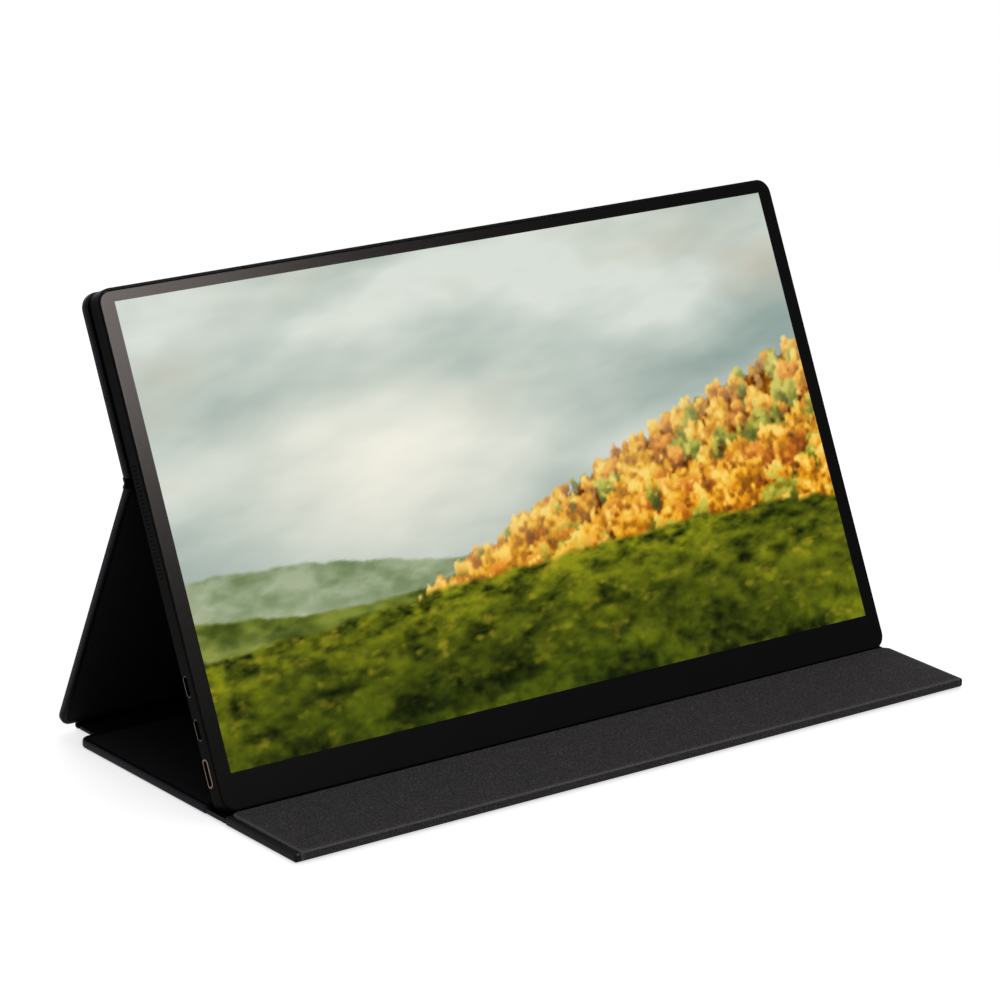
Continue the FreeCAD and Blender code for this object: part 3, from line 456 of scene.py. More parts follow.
    def threads(
        self, tree: Tree, place: Socket, per_metre: float, fine: Socket, broad: Socket
    ) -> tuple[Socket, Socket]:
        """Cross two sets of threads, warp along Y and weft along X, and scatter pale fibres on them.

        Args:
            tree: The material's node tree.
            place: Object coordinates, in metres.
            per_metre: Threads in a metre.
            fine: Noise of the thread's size.
            broad: Noise of several threads' size.

        Returns:
            The cloth's height and the tone of its specks.
        """
        ways = []
        for way in ("X", "Y"):
            # A wave of scale s has 20 s / (2 pi) bands in a unit, so this gives one band to a thread
            ways.append(add_node(
                tree, "ShaderNodeTexWave",
                {"Scale": per_metre * math.pi / 10, "Distortion": 1.4, "Detail": 1.0, "Detail Scale": 0.7},
                {"Vector": place}, bands_direction=way,
            ).outputs["Fac"])
        height = compute(tree, "ADD", compute(tree, "MAXIMUM", *ways), fine)
        # Specks are the fine noise's upper part, a little weaker in drifts
        speck = remap(tree, fine, (0.44, 0.64))
        cloud = remap(tree, broad, (0.3, 0.7), (0.55, 1.0))
        return height, compute(tree, "MULTIPLY", speck, cloud)


# Polyurethane coated split leather, embossed: a dark blue-black with a low satin gloss, painted lighter
# at its turned edges as wear and as a painted highlight. Its real grain of 0.3 mm is too fine for the render and is
# drawn at 0.7 mm.
SKIN = Finish(
    "pu_coated_leather", "#08090B", "#1A1C22", Pattern.GRAIN, 0.7, 0.07, 0.48, 0.08,
    specular=0.07, worn_and_highlit="#23252E",
)
# The same leather where it is pressed thin in a crease: smoother, with a little more shine, and painted paler at the
# fold as wear and as a painted highlight
CREASE = Finish(
    "pressed_leather_crease", "#08080A", "#16171C", Pattern.GRAIN, 0.5, 0.03, 0.42, 0.06,
    specular=0.08, worn_and_highlit="#191A20",
)
# Napped lining, brushed short: almost black and without gloss
LINING = Finish(
    "napped_lining", "#0B0B0D", "#101013", Pattern.WEAVE, 0.5, 0.03, 0.8, 0.05,
    specular=0.07, sheen=0.008,
)
# Woven microfibre facing: dark grey, flecked with paler fibres, and painted paler where it bends and at its
# ends, where its threads open and as a painted highlight. Real threads are 0.25 mm, drawn at 0.75 mm.
FACING = Finish(
    "woven_microfibre", "#2A292B", "#4E4B4E", Pattern.WEAVE, 0.75, 0.16, 0.86, 0.05,
    specular=0.05, sheen=0.005, worn_and_highlit="#6B676A",
)
# Powder painted die-cast alloy: matt warm black with a fine orange peel, drawn at 0.35 mm instead of 0.1 mm
SHELL = Finish(
    "powder_painted_alloy", "#0A0908", "#110F0E", Pattern.MOULDED, 0.35, 0.03, 0.5, 0.08, specular=0.02
)
# Cover glass with a black print behind it and an anti-reflection coat: deep black with a faint soft mirror
BORDER = Finish(
    "printed_cover_glass", "#030303", "#050505", Pattern.MOULDED, 4.0, 0.0003, 0.27, 0.02, specular=0.03
)
# Nickel plated steel of the upper sockets: dull warm metal at the mouth, dark inside with the plastic and with painted
# shade in the hollow
SOCKET = Finish(
    "nickel_plated_steel", "#5F5A53", "#141210", Pattern.MOUTH_PAINTED_SHADE, 0.3, 0.004, 0.34, 0.05,
    metallic=1.0, painted_shade_depths=(178.9, 177.9),
)
# Tin bronze of the lowest socket and its rim: brighter and browner than nickel, with painted shade that darkens it
# inside
BRONZE = Finish(
    "tin_bronze", "#77675A", "#16110D", Pattern.MOUTH_PAINTED_SHADE, 0.3, 0.004, 0.32, 0.05,
    metallic=1.0, painted_shade_depths=(178.9, 177.9),
)
# Moulded ABS of the keys, matt black
KEY = Finish("moulded_abs", "#111010", "#181716", Pattern.MOULDED, 0.35, 0.02, 0.42, 0.05, specular=0.1)
# Etched stainless strip of the speaker grilles, blackened: as matt as the wall, with holes darkened by painted shade
GRILLE = Finish(
    "blackened_steel", "#0E0C0B", "#010101", Pattern.MOUTH_PAINTED_SHADE, 0.3, 0.006, 0.5, 0.05,
    specular=0.02, painted_shade_depths=(179.46, 179.3),
)
# Grey chipboard that stiffens the cover
BOARD = Finish("grey_chipboard", "#6F6A62", "#8A857B", Pattern.MOULDED, 0.9, 0.04, 0.88, 0.04, specular=0.2)
# Nickel plated magnets
MAGNET = Finish(
    "nickel_plated_magnet", "#B9B7B2", "#A9A7A3", Pattern.MOULDED, 0.5, 0.003, 0.24, 0.05, metallic=1.0
)
# Foam tape and gaskets, open celled
FOAM = Finish("black_foam", "#161616", "#202020", Pattern.GRAIN, 0.4, 0.08, 0.92, 0.03, specular=0.15)
# Moulded polycarbonate frame round the panel
FRAME = Finish("moulded_polycarbonate", "#17181A", "#1E1F21", Pattern.MOULDED, 0.4, 0.01, 0.4, 0.05)
# Liquid crystal cell: two glass plates with dark polarisers
CELL = Finish("polarised_cell", "#0A0B0E", "#0D0E12", Pattern.MOULDED, 3.0, 0.001, 0.12, 0.02, specular=0.5)
# Optical films, milky
FILM = Finish("diffuser_film", "#D9DCDB", "#E6E8E7", Pattern.MOULDED, 0.6, 0.004, 0.5, 0.05)
# Light guide, clear acrylic with a fine printed dot
GUIDE = Finish("dotted_acrylic", "#C8D2D2", "#E8EDED", Pattern.GRAIN, 0.8, 0.004, 0.18, 0.05)
# Reflector, white polyester foil
REFLECTOR = Finish("white_polyester_foil", "#F0F0EE", "#E6E6E3", Pattern.MOULDED, 0.8, 0.003, 0.35, 0.05)
# Pressed zinc plated tray
TRAY = Finish(
    "zinc_plated_steel", "#8F9394", "#A2A6A7", Pattern.BRUSHED, 0.6, 0.006, 0.38, 0.08, metallic=1.0
)
# Lamp strip: white soldered diodes on a flexible strip
LAMPS = Finish("lamp_strip", "#D8D0A8", "#F2EDD8", Pattern.TRACES, 1.2, 0.01, 0.4, 0.05)
# Glass fibre board with green mask over copper
CIRCUIT = Finish("masked_glass_fibre", "#123A24", "#2B6B45", Pattern.TRACES, 1.0, 0.015, 0.36, 0.05)
# Black epoxy chips, laser matt
CHIP = Finish("moulded_epoxy", "#1C1C1E", "#26262A", Pattern.MOULDED, 0.3, 0.006, 0.6, 0.05)
# Polyimide ribbon, amber, with copper runs
RIBBON = Finish("polyimide_ribbon", "#8A4E17", "#B4742C", Pattern.BRUSHED, 1.0, 0.008, 0.3, 0.05)
# Small steel screws, zinc plated
SCREW = Finish(
    "zinc_plated_screw", "#A6A8AA", "#8C8E90", Pattern.BRUSHED, 0.4, 0.004, 0.32, 0.06, metallic=1.0
)
# Moulded speaker boxes
SPEAKER = Finish("moulded_speaker_box", "#1D1D1F", "#252528", Pattern.MOULDED, 0.4, 0.015, 0.5, 0.05)

NODE_FINISHES: dict[str, Finish] = {
    "base_board": BOARD, "flap_board": BOARD, "strut_board": BOARD, "back_board": BOARD,
    "flap_magnets": MAGNET, "back_magnets": MAGNET,
    "back_shell": SHELL, "glass_tape": FOAM, "speaker_gaskets": FOAM, "middle_frame": FRAME,
    "lcd_cell": CELL, "film_stack": FILM, "light_guide": GUIDE, "reflector_sheet": REFLECTOR,
    "backlight_tray": TRAY, "led_bar": LAMPS, "driver_board": CIRCUIT, "main_board": CIRCUIT,
    "button_board": CIRCUIT, "board_chips": CHIP, "button_switches": CHIP, "panel_ribbon": RIBBON,
    "usb_c_socket_upper": SOCKET, "usb_c_socket_lower": SOCKET, "mini_hdmi_socket": BRONZE,
    "speaker_left": SPEAKER, "speaker_right": SPEAKER, "speaker_grille_left": GRILLE,
    "speaker_grille_right": GRILLE, "small_screws": SCREW,
    "power_button": KEY, "plus_button": KEY, "minus_button": KEY,
}


@dataclass(frozen=True)
class Seat:
    """A flat frame that pieces are drawn in, and where it rests: turned about X, then moved.

    Attributes:
        y: Part's y of the frame's origin, in mm.
        z: Part's z of the frame's origin, in mm.
        turn: Turn about X, in degrees.
    """

    y: float
    z: float
    turn: float = 0.0

    def place(self, points: np.ndarray) -> np.ndarray:
        """Place points: y' = y cos t - z sin t, z' = y sin t + z cos t, plus the origin.

        Args:
            points: N x 3 array in mm in this frame.

        Returns:
            N x 3 array in metres in the part's frame.
        """
        c, s = math.cos(math.radians(self.turn)), math.sin(math.radians(self.turn))
        x, y, z = points.T
        return np.stack([x, y * c - z * s + self.y, y * s + z * c + self.z], 1) * MM

    def point(self, y: float, z: float) -> tuple[float, float, float]:
        """Place one point on the middle plane, in metres."""
        return tuple(self.place(np.array([[0.0, y, z]]))[0])


def leaning(y: float, z: float, above: float, turn: float) -> Seat:
    """Find the seat of a frame that is turned about a line along x, which lies above its own floor.

    Args:
        y: Part's y of the line, in mm.
        z: Part's z of the line, in mm.
        above: Height of the line over the frame's floor, in mm.
        turn: Turn about X, in degrees.

    Returns:
        The frame's seat: the line, set back by its height along the turned upright.
    """
    angle = math.radians(turn)
    return Seat(y + above * math.sin(angle), z - above * math.cos(angle), turn)


# The standing pose as the part's source solves it: the folds' lines in mm and the panels' turns in degrees
FRONT_Y = -36.0464
REAR_AXIS_Y = 85.0464
FOLD_HEIGHT = 0.5
FOOT_HEIGHT = 3.9256
DISPLAY_THICK = 9.0
DISPLAY_TURN = 63.8
STRUT_TURN = 112.12
BACK_TURN = -48.32
BASE = Seat(FRONT_Y, 0.0)
STRUT = leaning(REAR_AXIS_Y, FOLD_HEIGHT, FOLD_HEIGHT, STRUT_TURN)
DISPLAY = leaning(FRONT_Y, FOOT_HEIGHT, DISPLAY_THICK, DISPLAY_TURN)
# Size of the cover along x, and how far the spine and its creases stay back at each end, in mm
COVER_WIDTH = 360.4
SPINE_INSET = 10.5


@dataclass(frozen=True)
class Outline:
    """A rectangle with rounded corners, symmetric in x.

    Attributes:
        width: Size along x, in mm.
        front: Lower y, in mm.
        rear: Upper y, in mm.
        near: Corner radius at the front, in mm.
        far: Corner radius at the rear, in mm.
    """

    width: float
    front: float
    rear: float
    near: float
    far: float

    def ring(self, inset: float, height: float) -> np.ndarray:
        """Give the outline moved inwards: each corner is centre + radius (cos a, sin a) for a quarter turn.

        Args:
            inset: How far it moves in, in mm; a corner's radius shrinks by as much.
            height: Level that it lies at, in mm.

        Returns:
            RING_POINTS x 3 array, anticlockwise from the right front corner.
        """
        half = self.width / 2 - inset
        low, high = self.front + inset, self.rear - inset
        least = 0.05
        radius = np.maximum(np.array([self.near, self.far, self.far, self.near]) - inset, least)
        side = np.array([1, 1, -1, -1])
        centre_x = side * (half - radius)
        centre_y = np.where([False, True, True, False], high - radius, low + radius)
        quarter_turn = np.linspace(0, math.pi / 2, CORNER_STEPS + 1)
        turn = np.radians(np.array([-90, 0, 90, 180]))[:, None] + quarter_turn
        x = centre_x[:, None] + radius[:, None] * np.cos(turn)
        y = centre_y[:, None] + radius[:, None] * np.sin(turn)
        return np.stack([x.ravel(), y.ravel(), np.full(RING_POINTS, height)], 1)


def quarter(
    start: tuple[float, float], end: tuple[float, float], first: bool, steps: int = 6
) -> Profile:
    """Round a profile's corner by a quarter ellipse between two (inset, height) points.

    Args:
        start: First point.
        end: Last point.
        first: True if the curve leaves the start along the inset, else along the height.
        steps: Parts of the quarter turn.

    Returns:
        The points from start to end.
    """
    turn = np.linspace(0, math.pi / 2, steps + 1)
    lead, lag = np.sin(turn), 1 - np.cos(turn)
    across, up = (lead, lag) if first else (lag, lead)
    inset = start[0] + (end[0] - start[0]) * across
    height = start[1] + (end[1] - start[1]) * up
    return list(zip(inset, height))


def slab_profile(low: float, top: float, edge: float, under: float, steps: int = 6) -> Profile:
    """Round a slab's lower and upper edge, each by a quarter circle.

    Args:
        low: Level of the lower face, in mm.
        top: Level of the upper face, in mm.
        edge: Radius of both edges, in mm.
        under: Width of the lower face that the profile takes in, in mm.
        steps: Parts of each quarter turn.

    Returns:
        (inset, height) pairs in mm, from the lower face out, up and in to the upper face.
    """
    lower = quarter((edge, low), (0.0, low + edge), True, steps)
    upper = quarter((0.0, top - edge), (edge, top), False, steps)
    return [(edge + under, low), *lower, *upper]


def grid_faces(
    rows: int, columns: int, closed_rows: bool = False, closed_columns: bool = False
) -> np.ndarray:
    """Join a grid of points, row by row, into quads.

    Args:
        rows: Number of rows.
        columns: Number of points in each row.
        closed_rows: True if the last row joins the first.
        closed_columns: True if each row is a loop.

    Returns:
        F x 4 array of point numbers.
    """
    row = np.arange(rows if closed_rows else rows - 1)[:, None]
    column = np.arange(columns if closed_columns else columns - 1)[None, :]
    after, beside = (row + 1) % rows, (column + 1) % columns
    here, there = row * columns, after * columns
    corners = (here + column, here + beside, there + beside, there + column)
    return np.stack([np.broadcast_to(c, (row.size, column.size)).ravel() for c in corners], 1)


def tube_faces(rows: int, columns: int) -> Faces:
    """Join closed rows of points into a tube and close both of its ends.

    Args:
        rows: Number of rows.
        columns: Number of points in each row.

    Returns:
        The quads, then the first and the last end.
    """
    quads = grid_faces(rows, columns, closed_columns=True).tolist()
    first = list(range(columns))
    last = [(rows - 1) * columns + number for number in first]
    return [*quads, first[::-1], last]


def stations(distance: np.ndarray, half: float) -> np.ndarray:
    """Mirror distances from the end of a width into places along x, from one end to the other."""
    return np.concatenate([distance - half, (half - distance)[::-1][1:]])


@dataclass
class Piece:
    """A new mesh piece with its place in its mesh.

    Attributes:
        name: Object name.
        points: N x 3 array in metres in the part's frame.
        faces: Lists of point numbers.
        finish: Its material, or None where dress() gives another.
        slot: The record's material slot.
        rim: Share of edge wear and painted highlight at each point.
        replaced: Nodes that it stands for.
    """

    name: str
    points: np.ndarray
    faces: Faces
    finish: Finish | None
    slot: str
    rim: np.ndarray | None = None
    replaced: tuple[str, ...] = ()

    def build(self) -> bpy.types.Object:
        """Make the object, smooth shaded, and hide the nodes that it stands for.

        Returns:
            The mesh object, at the origin.
        """
        mesh = bpy.data.meshes.new(self.name)
        mesh.from_pydata(self.points.tolist(), [], [list(map(int, face)) for face in self.faces])
        mesh.polygons.foreach_set("use_smooth", np.ones(len(mesh.polygons), bool))
        # The rim attribute carries the edges' wear and their painted highlight.
        if self.rim is not None:
            wear_and_highlight = mesh.attributes.new("rim", "FLOAT", "POINT")
            wear_and_highlight.data.foreach_set("value", self.rim.astype(np.float32))
        mesh.update()
        mesh.set_sharp_from_angle(angle=CRISP_ANGLE)
        made = add_object(self.name, mesh)
        if self.finish:
            mesh.materials.append(self.finish.material())
        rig.slot(made, self.slot)
        if self.replaced:
            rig.replaces(made, *self.replaced)
        log.info("piece %s: %d points, %d faces", self.name, len(self.points), len(self.faces))
        return made


def lofted(outline: Outline, profile: Profile, seat: Seat) -> tuple[np.ndarray, Faces]:
    """Carry a profile round an outline: each (inset, height) of it is one ring, and both ends are closed.

    Args:
        outline: The path.
        profile: (inset, height) pairs in mm, from the lower middle out, up and back in.
        seat: The frame that the outline is drawn in.

    Returns:
        Points in metres and faces that point outwards.
    """
    points = np.concatenate([outline.ring(inset, height) for inset, height in profile])
    return seat.place(points), tube_faces(len(profile), RING_POINTS)


def edge_wear_and_highlight(profile: Profile, edge: float) -> np.ndarray:
    """Paint a lofted edge paler, as wear and as a painted highlight: the square root of 1 - inset / edge, so that the
    outermost ring is the palest.

    Args:
        profile: (inset, height) pairs in mm.
        edge: Inset at which the wear and the painted highlight end, in mm.

    Returns:
        One share for each point of the loft.
    """
    inset = np.array([inset for inset, _ in profile])
    return np.repeat(np.clip(1 - inset / edge, 0, 1) ** 0.5, RING_POINTS)


@dataclass(frozen=True)
class CoverPanel:
    """One stiff panel of the cover: leather turned over a board, and a lining let in.

    Attributes:
        name: Panel's name, the start of its nodes' names.
        body: Body that it rides on.
        seat: Frame that it is drawn in.
        outline: Its outline, in mm.
        low: Height of its outer face in that frame, in mm.
        thick: Thickness, in mm.
        edge: Radius of the turned edges, in mm.
        turned: Width of the leather turned over the inner face, in mm.
        skin: Leather's thickness, in mm.
        lining: Lining's thickness, in mm.
    """

    name: str
    body: str
    seat: Seat
    outline: Outline
    low: float
    thick: float
    edge: float = 1.0
    turned: float = 2.6
    skin: float = 0.6
    lining: float = 0.4

    def build(self) -> None:
        """Build the leather and the lining and let them ride."""
        self.build_skin()
        self.build_lining()

    def build_skin(self) -> bpy.types.Object:
        """Build the leather: its profile runs over the outer face, round the edge, in and down inside.

        Returns:
            The leather's object.
        """
        low, top, edge, turned = self.low, self.low + self.thick, self.edge, self.turned
        lip, under, gap = 0.3, 3.0, 0.05
        profile = slab_profile(low, top, edge, under)
        profile += quarter((turned - lip, top), (turned, top - lip), True, steps=4)
        profile += [(turned, low + self.skin + gap)]
        points, faces = lofted(self.outline, profile, self.seat)
        # The edges are painted paler: wear, and a painted highlight.
        wear_and_highlight = edge_wear_and_highlight(profile, edge)
        stands_for = (f"{self.name}_skin",)
        piece = Piece(f"{self.name}_leather", points, faces, SKIN, "cover_skin", wear_and_highlight, stands_for)
        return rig.ride(piece.build(), self.body)

    def build_lining(self) -> bpy.types.Object:
        """Build the lining: a thin slab with a soft upper edge, just below the turned leather.

        Returns:
            The lining's object, declared as a sheet.
        """
        top = self.low + self.thick
        start, soft, sunk, gap, inner = self.turned + 0.08, 0.22, 0.05, 0.02, 2.0
        profile = [(start, top - self.lining + gap)]
        profile += quarter((start, top - sunk - soft), (start + soft, top - sunk), False, steps=4)
        profile += [(start + inner, top - sunk)]
        points, faces = lofted(self.outline, profile, self.seat)
        name = f"{self.name}_inlay"
        made = Piece(name, points, faces, LINING, "cover_lining", None, (f"{self.name}_lining",)).build()
        flat = (self.outline.width - 2 * start, self.outline.rear - self.outline.front - 2 * start)
        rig.sheet(made, (flat[0] * MM, flat[1] * MM), "laid", [f"{self.name}_board"])
        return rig.ride(made, self.body)


@dataclass(frozen=True)
class Flap:
    """The front flap: a leather tray and a woven facing that wraps its front edge.

    Attributes:
        tray: Outline of the leather tray, in mm.
        tray_top: Height of the tray, in mm.
        half: Half of the facing's width, in mm.
        front: Facing's front, in mm.
        rear: Facing's rear, in mm.
        top: Facing's upper face, in mm.
        thick: Facing's thickness, in mm.
        lip_low: Lower end of the wrapped lip, in mm.
        soft: Radius of the facing's upper edges, in mm.
        edge: Radius of the tray's edges, in mm.
        turned: Width of the tray's upper rim, in mm.
        skin: Level of the tray's floor, in mm.
        wear_and_highlight: Share of the leather's edge wear and painted highlight.
        opened_and_highlight: Share of paler paint where the facing bends and its threads open, with a painted
            highlight there.
        corner: Radius of its rear corners, in mm.
        front_corner: Radius of its front corners, in mm.
    """

    tray: Outline = Outline(COVER_WIDTH, -48.5, -1.0, 1.2, 1.2)
    tray_top: float = 3.8
    half: float = 177.8
    front: float = -49.4
    rear: float = -1.2
    top: float = 4.7
    thick: float = 0.9
    lip_low: float = 0.8
    soft: float = 0.8
    edge: float = 1.0
    turned: float = 2.6
    skin: float = 0.65
    wear_and_highlight: float = 0.3
    opened_and_highlight: float = 0.5
    corner: float = 3.5
    front_corner: float = 1.2

    def build(self) -> None:
        """Build the tray and the facing and let them ride."""
        edge, high, under, brink = self.edge, self.tray_top, 3.0, 1.2
        profile = slab_profile(0.0, high, edge, under)
        profile += [(edge + brink, high), (self.turned, high), (self.turned, self.skin)]
        points, faces = lofted(self.tray, profile, BASE)
        # The tray's edges are painted paler: wear, and a painted highlight.
        wear_and_highlight = self.wear_and_highlight * edge_wear_and_highlight(profile, edge)
        tray = Piece("flap_leather", points, faces, SKIN, "cover_skin", wear_and_highlight, ("flap_skin",))
        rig.ride(tray.build(), "flap")
        self.build_facing()

    def section(self) -> np.ndarray:
        """Give the facing's closed section: top edge to edge, rounded, down the lip and back below.

        Returns:
            K x 5 array: y, z and how far each point follows the rear corner, the front corner and the
            end's drop.
        """
        turn_points, top_points = 7, 34
        turn = np.linspace(0, math.pi / 2, turn_points)
        s, level = self.soft, self.top - self.thick
        rear_y, rear_z = self.rear - s + s * np.cos(turn), self.top - s + s * np.sin(turn)
        front_y, front_z = self.front + s - s * np.sin(turn), self.top - s + s * np.cos(turn)
        top_y = np.linspace(self.rear - s, self.front + s, top_points)[1:-1]
        # The lip's cut end is bevelled outside and a little higher inside
        bevel_in, bevel_up, inner_up = 0.25, 0.3, 0.1
        inner_y = self.front + self.thick
        lip_y = np.array([self.front, self.front + bevel_in, inner_y, inner_y])
        lip_z = np.array([self.lip_low + bevel_up, self.lip_low, self.lip_low + inner_up, level])
        y = np.concatenate([[self.rear], rear_y, top_y, front_y, lip_y])
        z = np.concatenate([[level], rear_z, np.full(top_y.size, self.top), front_z, lip_z])
        along = (y - self.front) / (self.rear - self.front)
        rear_share = np.clip((along - 0.5) * 2, 0, 1)
        front_share = np.clip((0.5 - along) * 2, 0, 1)
        drop_share = (z - level) / self.thick * (z > level)
        return np.stack([y, z, rear_share, front_share, drop_share], 1)

    def build_facing(self) -> bpy.types.Object:
        """Carry the section along x; at each end a circle of the corner's radius draws it in and lowers it.

        Returns:
            The facing's object, declared as a sheet.
        """
        end_points, span_points = 13, 60
        near = self.corner * (1 - np.cos(np.linspace(0, math.pi / 2, end_points)))
        far = np.linspace(self.corner, self.half, span_points)[1:]
        x = stations(np.concatenate([near, far]), self.half)
        q = self.half - np.abs(x)
        section = self.section()

        def drawn(radius: float) -> np.ndarray:
            """Depth of a quarter circle at distance q from the end: r - sqrt(r^2 - (r - q)^2)."""
            left = np.clip(radius - q, 0, radius)
            return radius - np.sqrt(radius**2 - left**2)

        y0, z0, rear, front, drop = section.T
        y = y0 - drawn(self.corner)[:, None] * rear + drawn(self.front_corner)[:, None] * front
        z = z0 - drawn(self.soft)[:, None] * drop
        points = np.stack([np.broadcast_to(x[:, None], y.shape), y, z], 2).reshape(-1, 3)
        faces = tube_faces(len(x), len(section))
        # The facing is painted paler where it bends over the front edge and at its ends: opened threads, and a painted
        # highlight.
        bend_reach, side_reach = 0.7, 0.9
        bend = np.exp(-(((y0 - self.front) / bend_reach) ** 2)) * (z0 > self.top - self.soft)
        side = np.exp(-((q / side_reach) ** 2))
        wear_and_highlight = self.opened_and_highlight * np.maximum(bend[None, :], side[:, None]).ravel()
        placed = BASE.place(points)
        made = Piece("flap_facing", placed, faces, FACING, "flap_cloth", wear_and_highlight, ("flap_fabric",)).build()
        length = self.rear - self.front + self.top - self.lip_low
        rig.sheet(made, (2 * self.half * MM, length * MM), "stretched", ["flap_leather"])
        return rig.ride(made, "flap")


@dataclass(frozen=True)
class Crease:
    """A flexible strip of leather between two panels, pressed thinner at its fold.

    Attributes:
        name: Piece name.
        node: Node that it stands for.
        bodies: The two bodies that it bends between.
        seat: Frame that its path is drawn in.
        start: First point of its middle line, (y, z) in mm.
        fold: Point of the fold, in mm.
        end: Last point, in mm.
        half: Half of its width, in mm.
        thick: Thickness, in mm.
        thinned: Share of it that the press takes off at the fold.
        pressed: Length on each side of the fold that the press thins, in mm.
        wear_and_highlight: Share of wear and painted highlight on the fold.
        reach: Length on each side of the fold that bends, in mm.
        bead: How far its upper side swells at both ends, in mm; the lower side rises less.
        bead_reach: Length from the end over which the swelling fades, in mm.
    """

    name: str
    node: str
    bodies: tuple[str, str]
    seat: Seat
    start: tuple[float, float]
    fold: tuple[float, float]
    end: tuple[float, float]
    half: float
    thick: float = 0.8
    thinned: float = 0.22
    pressed: float = 0.8
    wear_and_highlight: float = 0.6
    reach: float = 1.5
    bead: float = 0.0
    bead_reach: float = 1.0

    def build(self) -> bpy.types.Object:
        """Carry a thin section along x: a straight leg, a quadratic curve at the fold and a second leg.

        Returns:
            The strip's object, blended between its bodies.
        """
        start, fold, end = (np.array(p) for p in (self.start, self.fold, self.end))
        near = fold + (start - fold) / np.linalg.norm(start - fold) * self.reach
        far = fold + (end - fold) / np.linalg.norm(end - fold) * self.reach
        curve_points, leg_points, end_points, span_points = 15, 8, 13, 26
        t = np.linspace(0, 1, curve_points)[:, None]
        curve = (1 - t) ** 2 * near + 2 * t * (1 - t) * fold + t**2 * far
        leg = np.linspace(0, 1, leg_points)[:-1, None]
        path = np.concatenate(
            [start + (near - start) * leg, curve, far + (end - far) * leg[1:], end[None, :]]
        )
        way = np.gradient(path, axis=0)
        way /= np.linalg.norm(way, axis=1)[:, None]
        normal = np.stack([-way[:, 1], way[:, 0]], 1)
        away = np.linalg.norm(path - fold, axis=1)
        half_thick = self.thick / 2 * (1 - self.thinned * np.exp(-((away / self.pressed) ** 2)))
        upper, lower = path + normal * half_thick[:, None], path - normal * half_thick[:, None]
        loop = np.concatenate([upper, lower[::-1]])
        end_zone = 3 * self.bead_reach
        near_end = np.linspace(0, end_zone, end_points)
        span = np.linspace(end_zone, self.half, span_points)[1:]
        x = stations(np.concatenate([near_end, span]), self.half)
        swell = self.bead * np.exp(-(((self.half - np.abs(x)) / self.bead_reach) ** 2))
        lower_share = 0.3
        rise = np.concatenate([normal, lower_share * normal[::-1]])
        section = loop + swell[:, None, None] * rise
        points = np.column_stack([np.repeat(x, len(loop)), section.reshape(-1, 2)])
        faces = [face[::-1] for face in tube_faces(x.size, len(loop))]
        # The fold is painted paler: wear, and a painted highlight.
        rub_and_highlight = np.exp(-(away**2))
        wear_and_highlight = self.wear_and_highlight * np.tile(np.concatenate([rub_and_highlight, rub_and_highlight[::-1]]), x.size)
        placed = self.seat.place(points)
        made = Piece(self.name, placed, faces, CREASE, "cover_skin", wear_and_highlight, (self.node,)).build()
        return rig.blend(made, *self.bodies, self.seat.point(*near), self.seat.point(*far))


